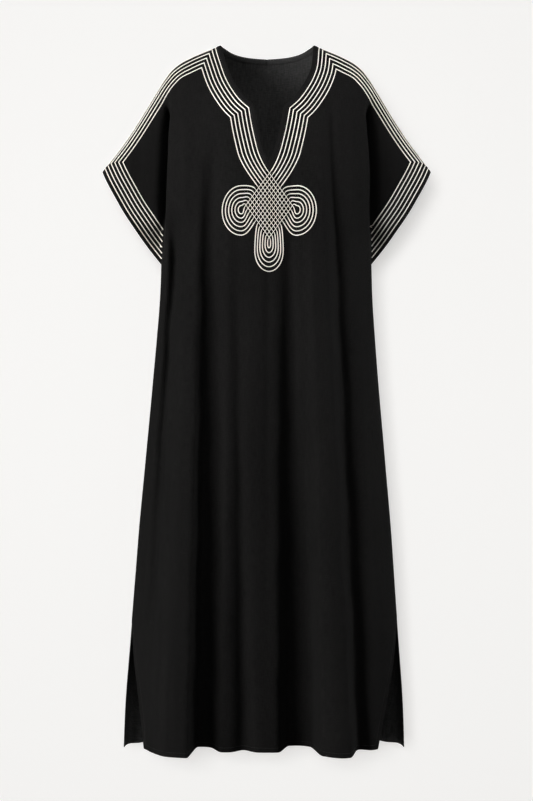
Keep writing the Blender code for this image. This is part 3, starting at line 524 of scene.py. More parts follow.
def ridge_depth(x, z, steepness):
    """Depth that the roll of the shoulder seam allows, at a place below it."""
    x = np.abs(x)
    rise = seam_height(x + SLOPE_STEP) - seam_height(np.maximum(x - SLOPE_STEP, 0.0))
    slope = rise / (2 * SLOPE_STEP)
    below = np.maximum(seam_height(x) - z, 0.0) / np.sqrt(1 + slope * slope)
    return np.sqrt(2 * read(SEAM, "roll", x, "x") * below + (steepness * below) ** 2)


def sway(x, z):
    """How far the folds wander sideways, which keeps their edges from being ruled lines."""
    slow = np.sin(SWAY_SLOW * z + SWAY_LEAN * x)
    quick = SWAY_QUICK_SHARE * np.sin(SWAY_QUICK * z - 2 * SWAY_LEAN * x)
    return SWAY * (slow + quick) * smooth((SWAY_FROM_Z - z) / SWAY_FADE)


def grown(row, z, hem):
    """How far down a fold has come at each height, as a share, and its rise there."""
    down = (row.z_top - z) / (row.z_top - hem)
    t = np.clip(down, 0.0, LEAN_MOST)
    return t, mix(row.rise_top, row.rise_hem, t) * smooth(down * FOLD_FADE_IN + 1.0)


def fold_rise(x, z, folds, hem):
    """All the folds together, growing from where each starts down to the hem."""
    rise = np.zeros_like(x)
    for fold in folds:
        t, height = grown(fold, z, hem)
        spread = mix(fold.spread_top, fold.spread_hem, t)
        rise = rise + height * bell((x - mix(fold.x_top, fold.x_hem, t)) / spread)
    return rise


def pleat_rise(x, z, pleats, hem):
    """All the pleats together, each growing from its start down to the hem."""
    rise = np.zeros_like(x)
    for pleat in pleats:
        t, height = grown(pleat, z, hem)
        within_left = smooth((x - mix(pleat.left_top, pleat.left_hem, t)) / pleat.run_left + 0.5)
        within_right = smooth((mix(pleat.right_top, pleat.right_hem, t) - x) / pleat.run_right + 0.5)
        rise = rise + height * within_left * within_right
    return rise


def soft_rise(x, z, creases):
    """The soft creases, each fading out at both ends."""
    rise = np.zeros_like(x)
    for crease in creases:
        t = (z - crease.z1) / (crease.z2 - crease.z1)
        middle = mix(crease.x1, crease.x2, t) + crease.bow * np.sin(math.pi * np.clip(t, 0, 1))
        along = np.clip(1 - (2 * t - 1) ** 2, 0.0, 1.0)
        rise = rise + crease.rise * along * bell((x - middle) / crease.spread)
    return rise


def cloth_depth(x, z, side):
    """Depth of the front or the back from the seam plane, outward."""
    front = side == FRONT
    across, swayed, hem = np.abs(x), x + sway(x, z), HEM_Z[side]
    deep = read(SECTIONS, "front" if front else "back", z)
    rise = fold_rise(swayed, z, FRONT_FOLDS if front else BACK_FOLDS, hem)
    rise = rise + soft_rise(x, z, FRONT_SOFT if front else BACK_SOFT)
    if front:
        rise = rise + pleat_rise(swayed, z, FRONT_PLEATS, hem)

    # Skirt: an oval that closes at the side seams
    share = np.clip(across / half_width(z), 0.0, 1.0)
    oval = (1 - share**OVAL_SQUARE) ** (1 / OVAL_ROUND)
    lower = deep * oval + rise * np.clip(oval * OVAL_FADE, 0.0, 1.0)

    # Chest, then the crease and the sleeve beyond it
    broad = np.sqrt(np.clip(1 - (across / CHEST_REACH) ** CHEST_SQUARE, CHEST_LEAST, 1.0))
    ease = smooth((z - UNDERARM_Z) / CHEST_EASE)
    chest = deep * (oval * (1 - ease) + broad * ease) + rise
    crease = np.where(x < 0, crease_line(z, LEFT), crease_line(z, RIGHT))
    run = CREASE_RUN + CREASE_SOFT_RUN * smooth((z - CREASE_SHARP_Z) / CREASE_SHARPENS)
    beyond = smooth((across - crease) / run)
    deeper = smooth((CREASE_DEEP_FROM - z) / CREASE_DEEPENS) * smooth((z - CREASE_DEEP_TO) / CREASE_DEEPENS)
    hollow = CREASE_HOLLOW + CREASE_HOLLOW_MORE * deeper
    hollow = 1 - hollow * bell((across - crease - CREASE_RUN) / CREASE_SPREAD)
    sleeve = SLEEVE_LEAST + SLEEVE_DEPTH * smooth((z - UNDERARM_Z) / SLEEVE_CLOSING) * hollow
    upper = chest * (1 - beyond) + sleeve * beyond

    join = smooth((z - UNDERARM_Z) / UNDERARM_JOIN)
    limit = lower * (1 - join) + upper * join
    limit = np.maximum(limit, np.where(z > UNDERARM_Z + ON_SEAM, SLEEVE_LEAST, LEAST_DEPTH))
    ridge = np.maximum(ridge_depth(x, z, SHOULDER_SLOPE[side]), LEAST_DEPTH)
    return (limit**-RIDGE_BLEND + ridge**-RIDGE_BLEND) ** (-1 / RIDGE_BLEND)


def place(plan, side):
    """Points on the outside of the cloth, from their plan places."""
    x, z = plan.T
    return np.stack([x + lean(z), side * (cloth_depth(x, z, side) + SEAM_GAP / 2), z], axis=-1)


def facing(plan, side):
    """Unit normals of the cloth's outside at plan places."""
    across, up = (place(plan + step, side) - place(plan - step, side) for step in PLAN_STEPS)
    return unit(np.cross(across, up) * -side)


def lengths(line):
    """Distance along a line of points, at each of them."""
    return np.concatenate([[0], np.cumsum(np.linalg.norm(np.diff(line, axis=0), axis=1))])


def line_through(rows):
    """A smooth plan line through a table's rows."""
    points = np.array([(row.x, row.z) for row in rows])
    run = lengths(points)
    at = np.linspace(0, run[-1], DENSE)
    return np.stack([through(at, run, values) for values in points.T], axis=1)


def offset(line, distance, reach=RUN_ON):
    """A plan line moved to its right by a distance (one, or one for each point), and run on at both ends."""
    ahead = unit(np.gradient(line, axis=0))
    right = np.stack([ahead[:, 1], -ahead[:, 0]], axis=1)
    moved = line + right * np.reshape(distance, (-1, 1))
    return np.vstack([moved[0] - ahead[0] * reach, moved, moved[-1] + ahead[-1] * reach])


def crossing(first, second):
    """Where two plan lines cross: the place, and the segment of each."""
    a, r = first[:-1, None], np.diff(first, axis=0)[:, None]
    c, s = second[None, :-1], np.diff(second, axis=0)[None]
    turn = turned(r, s)
    turn = np.where(np.abs(turn) < PARALLEL, np.nan, turn)
    t, u = turned(c - a, s) / turn, turned(c - a, r) / turn
    i, j = np.argwhere((t >= -ON_END) & (t <= 1 + ON_END) & (u >= -ON_END) & (u <= 1 + ON_END))[0]
    return first[i] + (first[i + 1] - first[i]) * t[i, j], i, j


def read_along(at, run, values):
    """Rows of values that are known along a line, read at other distances along it."""
    return np.stack([np.interp(at, run, part) for part in values.T], axis=-1)


def resampled(line, count):
    """A line again, in this many even steps."""
    run = lengths(line)
    return read_along(np.linspace(0, run[-1], count + 1), run, line)


def evenly(line, step):
    """A line again, in even steps of about this length."""
    return resampled(line, max(2, round(lengths(line)[-1] / step)))


def chained(parts):
    """Lines that each start where the last one ends, as one line."""
    return np.vstack([parts[0]] + [part[1:] for part in parts[1:]])


def mitred(lines):
    """Plan lines one after the other, each cut where it meets the next."""
    parts, rest = [], lines[0]
    for after in lines[1:]:
        corner, i, j = crossing(rest, after)
        parts.append(np.vstack([rest[: i + 1], corner]))
        rest = np.vstack([corner, after[j + 1 :]])
    return [*parts, rest]


def in_steps(lines, step):
    """Chained lines, each in even steps of its own."""
    return chained([evenly(line, step) for line in lines])


def cubic(start, leave, end, arrive):
    """A plan curve that leaves and arrives along two ways, which are as strong as its ends are far apart."""
    t, size = np.linspace(0, 1, CURVE_POINTS)[:, None], np.linalg.norm(start - end)
    a = (1 + 2 * t) * (1 - t) ** 2 * start + t * (1 - t) ** 2 * (leave * size)
    return a + t * t * (3 - 2 * t) * end - t * t * (1 - t) * (arrive * size)


# Plan lines of one side, from the middle outward; cloth is to their right
NECK_TOP = line_through(NECK_ROUND)[::-1]
NECK_FOOT = line_through(NECK_SLIT)[::-1]
NECK_REAR = line_through(NECK_BACK)[::-1]
SHOULDER = line_through(SEAM[1:])
CUFF_EDGE = line_through(CUFF)
TO_TOP = np.array([0.0, DIAMOND_HALF_HEIGHT])
TO_SIDE = np.array([DIAMOND_HALF_WIDTH, 0.0])
STRAND_WAY = (TO_TOP + TO_SIDE) / np.linalg.norm(TO_TOP + TO_SIDE)


def mirrored(line, sign):
    """A side's plan line, in the garment's plan."""
    return line * (sign, 1)


def shifted(line, sign):
    """Neck lines of one side, which drift to the right of the picture as they come down to the knot."""
    moved = np.array(line, float)
    moved[:, 0] += sign * NECK_SHIFT * smooth(-moved[:, 1] / NECK_SHIFT_FALL)
    return moved


def neck_foot(distance, strand, sign):
    """Beside the neck's slit, from a place on the diamond, in strands from its top, to above the notch."""
    beside = offset(shifted(NECK_FOOT, sign), distance)
    beside = beside[beside[:, 1] > CURVE_IN_Z]
    end = KNOT * (sign, 1) + TO_TOP + (TO_SIDE - TO_TOP) * strand / KNOT_STRANDS
    ahead = (beside[1] - beside[0]) / np.linalg.norm(beside[1] - beside[0])
    return chained([cubic(end, STRAND_WAY, beside[0], ahead), beside])


def to_seam(line):
    """A plan line, cut where it meets the shoulder seam."""
    end, at, _ = crossing(line, SHOULDER)
    return np.vstack([line[: at + 1], end])


def from_seam(line):
    """A plan line, made to start at the shoulder seam."""
    start, _, at = crossing(SHOULDER, line)
    return np.vstack([start, line[at + 1 :]])


def to_crease(line, sign):
    """A cuff line, cut where it goes behind the body's fold."""
    return line[line[:, 0] > crease_line(line[:, 1], sign) + CUFF_END_CLEAR]


def outward(neck, row, sign):
    """Lines along the neck, and on along the shoulder and down the cuff, mitred at each turn."""
    ease = smooth((SHOULDER[:, 0] - SLEEVE_STARTS_X) / SLEEVE_EASE)
    shoulder = offset(SHOULDER, row.shoulder * (1 - ease) + row.sleeve * ease)
    return in_steps(mitred([*neck, shoulder, to_crease(offset(CUFF_EDGE, row.cuff), sign)]), CORD_STEP)


def front_border(row, strand, sign):
    """From the knot up the neck, along the shoulder and down the cuff."""
    neck = [neck_foot(row.neck, strand, sign), offset(shifted(NECK_TOP, sign), row.neck)]
    return outward(neck, row, sign)


def beside_neck(distance, strand, sign):
    """Beside the neck in two parts: from the knot to the notch, and on to the shoulder seam."""
    top = to_seam(offset(shifted(NECK_TOP, sign), distance))
    return mitred([neck_foot(distance, strand, sign), top])


def from_middle(line):
    """A line of the back's right half, made to start exactly at the middle."""
    beyond = line[line[:, 0] > CLEAR_OF_MIDDLE]
    return np.vstack([[0.0, beyond[0, 1]], beyond])


def back_border(row, pitch):
    """From the middle of the back neck, along the shoulder and down the cuff."""
    return outward([from_middle(offset(NECK_REAR, row.neck + pitch))], row, RIGHT)


def back_neck(distance):
    """From the middle of the back neck to the shoulder seam."""
    return to_seam(from_middle(offset(NECK_REAR, distance)))


def cuff_line(distance, sign):
    """Beside the cuff's edge, from the shoulder seam down."""
    return evenly(to_crease(from_seam(offset(CUFF_EDGE, distance)), sign), CORD_STEP)


def side_turn(turn, sign):
    """One turn of a side loop, from the diamond's upper side round to its lower side."""
    share = (turn - 0.5) / KNOT_STRANDS
    upper = TO_SIDE + (TO_TOP - TO_SIDE) * share
    lower = TO_SIDE + (-TO_TOP - TO_SIDE) * share
    reach, top, foot = (first + step * (turn - 1) for first, step in SIDE_LOOP)
    middle, tall, wide = (top - foot) / 2, (top + foot) / 2, reach - SIDE_LOOP_TURN
    angle = np.linspace(math.pi / 2, -math.pi / 2, BOW_POINTS)
    bow = np.stack([SIDE_LOOP_TURN + wide * np.cos(angle), middle + tall * np.sin(angle)], axis=1)
    out = cubic(upper, STRAND_WAY, bow[0], np.array([1.0, 0.0]))
    home = cubic(bow[-1], np.array([-1.0, 0.0]), lower, STRAND_WAY * (-1, 1))
    return mirrored(chained([out, bow, home]), sign) + KNOT


def foot_turn(turn):
    """One turn of the loop under the diamond."""
    share = (turn - 0.5) / KNOT_STRANDS
    start = -TO_TOP + (TO_TOP - TO_SIDE) * share
    half, widest, end = (first + step * (turn - 1) for first, step in FOOT_LOOP)
    out = cubic(start, -STRAND_WAY * FOOT_LEAVES, np.array([-half, -widest]), np.array([0.0, -1.0]))
    angle = np.linspace(math.pi, 1.5 * math.pi, BOW_POINTS)
    bow = np.stack([half * np.cos(angle), (end - widest) * np.sin(angle) - widest], axis=1)
    left = chained([out, bow])
    return chained([left, mirrored(left[::-1], -1)]) + KNOT


Cloth = namedtuple("Cloth", "piece side grid outer normals faces tree")


def finish_mesh(name, points, faces, material, marks=None):
    """A smooth-shaded piece, with named vector values at its points."""
    mesh = bpy.data.meshes.new(name)
    mesh.from_pydata(points.tolist(), [], faces)
    mesh.materials.append(material)
    mesh.polygons.foreach_set("use_smooth", [True] * len(mesh.polygons))
    for title, values in (marks or {}).items():
        held = mesh.attributes.new(title, "FLOAT_VECTOR", "POINT")
        held.data.foreach_set("vector", np.asarray(values, np.float32).ravel())
    mesh.update()
    piece = bpy.data.objects.new(name, mesh)
    bpy.context.scene.collection.objects.link(piece)
    return piece


def worn_by(piece, slot, *nodes):
    """The piece rides on the garment and stands for these solids. The slot is not used."""
    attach(piece, "root")
    if nodes:
        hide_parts(*nodes)


def edge_share(side, sign, z):
    """The panel's edge below the underarm, as a share of the half width there."""
    return np.ones_like(z) if side == BACK else read(SLIT, SIDES[sign], z)


def skirt_rows(side):
    """Heights of the rows below the underarm, closer together in the hem."""
    last = HEM_Z[side] + EDGE_LINES[-1] + EDGE_STEP
    count = round((UNDERARM_Z - last) / ROW_STEP)
    return np.concatenate([np.linspace(UNDERARM_Z, last, count + 1), HEM_Z[side] + EDGE_LINES[::-1]])


def level(x, z):
    """Plan places at one height."""
    return np.stack([x, np.full_like(x, z)], axis=1)


def run_across(x, z, side):
    """Distance along the cloth at one height, at each x."""
    return lengths(np.stack([x, cloth_depth(*level(x, z).T, side)], axis=1))


def skirt(side):
    """Plan places of the skirt in rows, and each one's distance from the panel's edge along the cloth."""
    count = round(SKIRT_REACH / ACROSS_STEP)
    border = EDGE_LINES[-1] + EDGE_STEP
    plan, away = [], []
    for z in skirt_rows(side):
        left = -half_width(z) * edge_share(side, LEFT, z)
        right = half_width(z) * edge_share(side, RIGHT, z)
        t = np.linspace(-1, 1, ROW_PROBES)
        x = (left + right) / 2 + (right - left) / 2 * np.sin(t * math.pi / 2)
        run = run_across(x, z, side)
        inner = np.linspace(border, run[-1] - border, count)
        at = np.concatenate([EDGE_LINES, inner, run[-1] - EDGE_LINES[::-1]])
        plan.append(level(np.interp(at, run, x), z))
        away.append(np.minimum(at, run[-1] - at))
    return np.array(plan), np.array(away)


def half_outline(side, sign):
    """Neck, shoulder and cuff of one side of a panel, in the garment's plan."""
    neck = [shifted(NECK_FOOT, sign), shifted(NECK_TOP, sign)] if side == FRONT else [NECK_REAR]
    return mirrored(in_steps([*neck, SHOULDER, CUFF_EDGE], EDGE_STEP)[:-1], sign)


def tree_of(points):
    """A tree for finding the nearest of these plan points."""
    tree = KDTree(len(points))
    for n, (x, z) in enumerate(points):
        tree.insert((x, z, 0.0), n)
    tree.balance()
    return tree


def away_from(tree, points):
    """How far each plan point is from the nearest point of a tree."""
    return np.array([tree.find((x, z, 0.0))[2] for x, z in points])


def inside(points, loop):
    """Which points lie in a closed plan outline."""
    a, b = loop, np.roll(loop, -1, axis=0)
    rise = np.where(np.abs(b[:, 1] - a[:, 1]) < LEVEL, LEVEL, b[:, 1] - a[:, 1])
    held = []
    for part in np.array_split(points, max(1, len(points) // AT_ONCE)):
        x, z = part[:, 0][:, None], part[:, 1][:, None]
        spans = (a[:, 1] > z) != (b[:, 1] > z)
        cross = a[:, 0] + (z - a[:, 1]) / rise * (b[:, 0] - a[:, 0])
        held.append((spans & (x < cross)).sum(1) % 2 == 1)
    return np.concatenate(held)


def yoke(side, waist):
    """Plan and triangles of the part above the underarm, which ends in the waist row."""
    loop = np.vstack([half_outline(side, RIGHT), waist[::-1], half_outline(side, LEFT)[::-1][:-1]])
    lines = []
    for sign in SIDES:
        lines += [mirrored(offset(SHOULDER, away, 0.0)[1:-1][::RIDGE_EVERY], sign) for away in RIDGE_LINES]
        lines += [mirrored(evenly(offset(CUFF_EDGE, away), EDGE_STEP), sign) for away in EDGE_LINES[1:]]
    lines = [line for whole in lines for line in runs_inside(whole, loop)]
    grid = []
    for z in np.arange(UNDERARM_Z + ROW_STEP, SEAM[0].z, ROW_STEP):
        x = np.linspace(-SEAM[-1].x, SEAM[-1].x, ROW_PROBES)
        run = run_across(x, z, side)
        at = np.linspace(0, run[-1], round(run[-1] / ACROSS_STEP))
        grid.append(level(np.interp(at, run, x), z))
    grid = np.vstack(grid)
    grid = grid[inside(grid, loop)]
    dense = np.vstack([evenly(line, LINE_PROBE) for line in [*lines, np.vstack([loop, loop[:1]])]])
    grid = grid[away_from(tree_of(dense), grid) > CLEAR_OF_LINES]

    plan = list(loop)
    edges = [(n, (n + 1) % len(loop)) for n in range(len(loop))]
    for line in lines:
        edges += [(len(plan) + n, len(plan) + n + 1) for n in range(len(line) - 1)]
        plan += list(line)
    plan += list(grid)
    found = delaunay_2d_cdt([Vector(p) for p in plan], edges, [], 0, SAME_PLACE)
    points = np.array([tuple(v) for v in found[0]])
    faces = np.array([tuple(f) for f in found[2]])
    return points, faces[inside(points[faces].mean(1), loop)]


def runs_inside(line, loop):
    """The stretches of a plan line that lie in the outline."""
    held = inside(line, loop)
    cuts = np.flatnonzero(np.diff(held.astype(int))) + 1
    parts = zip(np.split(line, cuts), np.split(held, cuts))
    return [part for part, kept in parts if kept[0] and len(part) > 1]


def seam_ways(points, line, sign):
    """For each plan point on one seam, the way out of the cloth; nan for the others."""
    start, run = line[:-1], np.diff(line, axis=0)
    found = np.full((len(points), 2), np.nan)
    near = np.flatnonzero(away_from(tree_of(evenly(line, SEAM_PROBE)), points) < 2 * SEAM_PROBE)
    for n in near:
        t = np.clip(((points[n] - start) * run).sum(1) / (run * run).sum(1), 0, 1)
        away = np.linalg.norm(start + run * t[:, None] - points[n], axis=1)
        if away.min() < ON_SEAM:
            ahead = run[away < ON_SEAM].mean(0)
            found[n] = np.array([-ahead[1], ahead[0]]) * sign / np.linalg.norm(ahead)
    return found


def normals_of(points, faces):
    """Unit normals at the points, from the faces round each."""
    a, b, c = (points[faces[:, n]] for n in range(3))
    face = np.cross(b - a, c - a)
    face /= np.linalg.norm(face, axis=1)[:, None] + TINY
    total = np.zeros_like(points)
    for n in range(3):
        p, q, r = (points[faces[:, (n + k) % 3]] for k in range(3))
        u, v = q - p, r - p
        size = np.linalg.norm(u, axis=1) * np.linalg.norm(v, axis=1) + TINY
        np.add.at(total, faces[:, n], face * np.arccos(np.clip((u * v).sum(1) / size, -1, 1))[:, None])
    return total / (np.linalg.norm(total, axis=1)[:, None] + TINY)


def cloth_run(start, run, step, side):
    """Lengths of cloth over plan runs that are all level or all upright, with the runs' signs."""
    t = (np.arange(THREAD_PROBES) + 0.5) / THREAD_PROBES
    probes = start[:, None] + run[:, None] * t[:, None]
    after, before = (cloth_depth(*np.moveaxis(part, -1, 0), side) for part in (probes + step, probes - step))
    slope = (after - before) / (2 * PLAN_STEP)
    return (np.sqrt(1 + np.minimum(slope**2, STEEPEST)) * (run.sum(1) / THREAD_PROBES)[:, None]).sum(1)


def threads(plan, side):
    """Places in the flat cloth: along the weft from the middle, and along the warp from the underarm."""
    middle, underarm = plan * (0, 1), plan * (1, 0) + (0, UNDERARM_Z)
    weft = cloth_run(middle, plan - middle, PLAN_STEPS[0], side)
    warp = cloth_run(underarm, plan - underarm, PLAN_STEPS[1], side)
    return np.stack([weft, warp, np.zeros(len(plan))], axis=1)


def wandering(points):
    """Small slow unevenness, long down the cloth."""
    scale = Vector((1 / WANDER_SIZE, 1 / WANDER_SIZE, 1 / WANDER_SIZE / WANDER_TALL))
    return np.array([noise.noise(Vector(p) * scale + WANDER_SHIFT) for p in points])


def panel_plan(side):
    """A panel's plan points and triangles, its skirt's rows, and how far each point is from a turned edge."""
    grid, grid_away = skirt(side)
    rows, columns = grid.shape[:2]
    plan, faces = yoke(side, grid[0])
    known = tree_of(plan)
    waist = [known.find((*p, 0.0))[1] for p in grid[0]]
    plan[waist] = grid[0]
    count = len(plan)
    index = np.vstack([waist, count + np.arange((rows - 1) * columns).reshape(rows - 1, columns)])
    points = np.vstack([plan, grid[1:].reshape(-1, 2)])
    quads = np.stack([index[:-1, :-1], index[:-1, 1:], index[1:, 1:], index[1:, :-1]], axis=-1).reshape(-1, 4)
    faces = np.vstack([faces, quads[:, [0, 1, 2]], quads[:, [0, 2, 3]]])
    a, b, c = (points[faces[:, n]] for n in range(3))
    wrong = turned(b - a, c - a) * -side < 0
    faces[wrong] = faces[wrong][:, ::-1]

    cuffs = np.vstack([mirrored(evenly(CUFF_EDGE, SEAM_PROBE), sign) for sign in SIDES])
    away = np.minimum(points[:, 1] - HEM_Z[side], away_from(tree_of(cuffs), points))
    slit = np.where(grid[1:, :, 1] < SLIT_TOP_Z, grid_away[1:], np.inf).ravel()
    away[count:] = np.minimum(away[count:], slit)
    return points, faces, grid, away


def all_seam_ways(points, grid):
    """The ways out of the cloth at both shoulder seams and both side seams; nan for the other points."""
    ways = np.full((len(points), 2), np.nan)
    for sign in SIDES:
        down = grid[:, 0 if sign == LEFT else -1]
        down = down[down[:, 1] > SLIT_TOP_Z - ON_SEAM]
        for line in (mirrored(evenly(SHOULDER, EDGE_STEP), sign), down):
            ways = np.where(np.isnan(ways), seam_ways(points, line, sign), ways)
    return ways


def unevenness(outer, flat, away, on_seam):
    """How far each point stands out: slow waves, puckers and a groove along stitches, and a dip at seams."""
    waves = wandering(outer) * WANDER * np.where(on_seam, 0.0, smooth(np.abs(outer[:, 1]) / WANDER_CLEAR))
    pucker = np.sin(math.pi * 2 * (flat[:, 0] + flat[:, 1]) / PUCKER) * PUCKER_TALL
    pucker = pucker * bell((away - STITCH_INSET) / PUCKER_RUN)
    groove = STITCH_DIP * bell((away - STITCH_INSET) / STITCH_DIP_RUN)
    return waves + pucker - groove - np.where(on_seam, SEAM_DIP, 0.0)


def panel(name, side, material):
    """The front or the back: a thin shell, thicker where its edges are turned in."""
    points, faces, grid, away = panel_plan(side)
    ways = all_seam_ways(points, grid)
    on_seam = ~np.isnan(ways[:, 0])
    outer = place(points, side)
    outer[on_seam, 1] = side * SEAM_GAP / 2
    normals = normals_of(outer, faces)
    normals[on_seam] = np.insert(ways[on_seam], 1, 0.0, axis=1)
    flat = threads(points, side)
    outer = outer + normals * unevenness(outer, flat, away, on_seam)[:, None]
    wall = WALL + TURNED_WALL * smooth((TURNED_IN - away) / PRESS_RUN + 0.5)
    inner = outer - normals * np.where(on_seam, WALL, wall)[:, None]

    total = len(outer)
    halves = np.vstack([faces[:, [0, 1]], faces[:, [1, 2]], faces[:, [2, 0]]]).tolist()
    known = set(map(tuple, halves))
    rim = [(b, a, a + total, b + total) for a, b in halves if (b, a) not in known]
    shell = faces.tolist() + (faces[:, ::-1] + total).tolist() + rim
    # The inside is marked 1, which gives it the wrong side's lighter tones of painted light
    marks = np.vstack([flat, flat + (0.0, 0.0, 1.0)])
    piece = finish_mesh(name, np.vstack([outer, inner]), shell, material, {"thread": marks})
    tree = BVHTree.FromPolygons(outer.tolist(), faces.tolist())
    return Cloth(piece, side, grid, outer, normals_of(outer, faces), faces, tree)


def lay(cloth, line):
    """Places and normals on a panel, under a plan line of the garment."""
    centre = place(line, cloth.side)
    ways = facing(line, cloth.side)
    spots, normals = [], []
    for point, way in zip(centre, ways):
        hit, _, face, _ = cloth.tree.ray_cast(Vector(point + way * CAST_REACH), Vector(-way), 2 * CAST_REACH)
        if hit is None:
            hit, _, face, _ = cloth.tree.find_nearest(Vector(point))
        corners = cloth.faces[face]
        weight = 1.0 / (np.linalg.norm(cloth.outer[corners] - np.array(hit), axis=1) + PLAN_STEP)
        spots.append(np.array(hit))
        normals.append((cloth.normals[corners] * weight[:, None]).sum(0))
    return np.array(spots), evened(np.array(normals))


def evened(normals):
    """Unit normals along a line, each eased towards its neighbours."""
    for _ in range(EASINGS):
        padded = np.vstack([normals[:1], normals, normals[-1:]])
        normals = (padded[:-2] + 2 * padded[1:-1] + padded[2:]) / 4
    return unit(normals)


def joined(first, second):
    """Two laid lines that meet over a seam, as one, with their shared end between them."""
    spots = [np.array(part) for part in (first[0], second[0])]
    meet = (spots[0][-1] + spots[1][0]) / 2
    normal = first[1][-2] + second[1][1]
    normals = [first[1][:-1], normal[None], second[1][1:]]
    return np.vstack([spots[0][:-1], meet[None], spots[1][1:]]), evened(np.vstack(normals))


def sweep(spots, normals, section, wide):
    """Rings of a section along a line on the cloth, mitred at its corners, and their places in the braid."""
    step = unit(np.diff(spots, axis=0))
    before, after = np.vstack([step[:1], step]), np.vstack([step, step[-1:]])
    across = unit(np.cross(normals, before + after))
    mitre = 1.0 / np.clip((across * unit(np.cross(normals, after))).sum(1), LEAST_MITRE, 1.0)
    a, b = np.array(section).T
    sideways = across[:, None] * (a[None, :, None] * (wide * mitre)[:, None, None])
    rings = spots[:, None] + sideways + normals[:, None] * b[None, :, None]
    return rings, np.stack(np.broadcast_arrays(lengths(spots)[:, None], a[None], 0.0), axis=-1)


def tube_faces(count, size, closed=False, first=0):
    """Faces of rings joined one to the next, with ends unless the line is closed."""
    faces = []
    for n in range(count if closed else count - 1):
        here, after = first + size * n, first + size * ((n + 1) % count)
        for k in range(size):
            faces.append((here + k, here + (k + 1) % size, after + (k + 1) % size, after + k))
    if not closed:
        last = first + size * (count - 1)
        faces += [tuple(range(first, first + size))[::-1], tuple(range(last, last + size))]
    return faces


def cords(name, lines, material, nodes, tall=CORD_TALL):
    """Braids laid along lines, as one piece. Each line is its places, its normals and its half width."""
    shape = [(a, b * tall - CORD_SUNK) for a, b in CORD_SECTION]
    points, faces, marks = [], [], []
    for spots, normals, wide in lines:
        rings, values = sweep(spots, normals, shape, wide)
        faces += tube_faces(len(spots), len(shape), first=len(shape) * len(points))
        points.extend(rings)
        marks.extend(values)
    piece = finish_mesh(name, np.vstack(points), faces, material, {"braid": np.vstack(marks)})
    worn_by(piece, "cream_cord", *nodes)


def thinned(line, start, end):
    """A cord's half width along a line, thinner at an end that runs into the knot's strands."""
    run = lengths(line)
    thin = np.zeros(len(line))
    for here, away in ((start, run), (end, run[-1] - run)):
        if here:
            thin = np.maximum(thin, 1 - smooth(away / TAPER_RUN))
    return mix(CORD_HALF, STRAND_HALF, thin)


def couched(name, cloth, plans, ends, material, nodes):
    """Cords laid on a panel along plan lines, thinned at their starts and ends where that is said."""
    laid = [lay(cloth, plan) for plan in plans]
    cords(name, [(spots, normals, thinned(spots, *ends)) for spots, normals in laid], material, nodes)


def lattice(cloth, material):
    """The woven diamond: twelve strands each way, each over one and under the next."""
    lines = []
    for sign in SIDES:
        side, top = TO_SIDE * sign, TO_TOP
        for strand in range(KNOT_STRANDS):
            start = top + (-side - top) * (strand + 0.5) / KNOT_STRANDS
            line = evenly(np.array([start, start + side - top]) + KNOT, STRAND_STEP)
            spots, normals = lay(cloth, line)
            run = lengths(line)
            crossings = run / run[-1] * KNOT_STRANDS - 0.5
            over = STRAND_LIFT * (1 + sign * np.cos(math.pi * (crossings + strand)))
            lines.append((spots + normals * over[:, None], normals, STRAND_HALF))
    cords("knot_lattice", lines, material, ["knot_centre"], tall=STRAND_TALL + CORD_SUNK)


def neck_stations():
    """Matched places on the neck's edge and inside it, all the way round: side, edge and rail."""
    rows = []
    for sign in (RIGHT, LEFT):
        edges = [shifted(line, sign) for line in (NECK_FOOT, NECK_TOP)]
        foot, top = (matched(*pair) for pair in zip(edges, beside_neck(BINDING_RAIL, 0, sign)))
        rear = matched(NECK_REAR, back_neck(BINDING_RAIL))[::-1]
        half = [(FRONT, *pair) for pair in foot + top[1:]] + [(BACK, *pair) for pair in rear[1:]]
        half = [(side, edge * (sign, 1), rail * (sign, 1)) for side, edge, rail in half]
        rows += half if sign == RIGHT else half[::-1][1:-1]
    return rows


def matched(edge, rail):
    """Pairs of places on two plan lines, in even steps of both."""
    count = round(lengths(edge)[-1] / BINDING_STEP)
    return list(zip(resampled(edge, count), resampled(rail, count)))


def binding(material):
    """The strip folded over the neck's edge, and where its line of stitches runs."""
    bases, units, normals = [], [], []
    for side, edge, rail in neck_stations():
        base, inner = place(np.array([edge, rail]), side)
        along = (inner - base) / BINDING_RAIL
        way = facing(np.array([(edge + rail) / 2]), side)[0]
        bases.append(base)
        units.append(along)
        normals.append(way - along * (along @ way) / (along @ along))
    bases, units, normals = np.array(bases), np.array(units), unit(np.array(normals))
    a, b = np.array(BINDING_SECTION).T
    rings = bases[:, None] + units[:, None] * a[None, :, None] + normals[:, None] * b[None, :, None]
    round_it = lengths(np.array(BINDING_SECTION))
    # The binding's inner face takes the wrong side's lighter tones of painted light
    wrong_side_painted_light = np.where(b < BINDING_INNER, 1.0, 0.0)
    marks = np.stack(np.broadcast_arrays(lengths(bases)[:, None], round_it[None], wrong_side_painted_light[None]), axis=-1)
    marks = {"thread": marks.reshape(-1, 3)}
    faces = tube_faces(len(bases), len(a), closed=True)
    piece = finish_mesh("neck_binding_strip", rings.reshape(-1, 3), faces, material, marks)
    sewn = bases + units * BINDING_SEWN[0] + normals * BINDING_SEWN[1]
    return piece, (np.vstack([sewn, sewn[:1]]), np.vstack([normals, normals[:1]]))


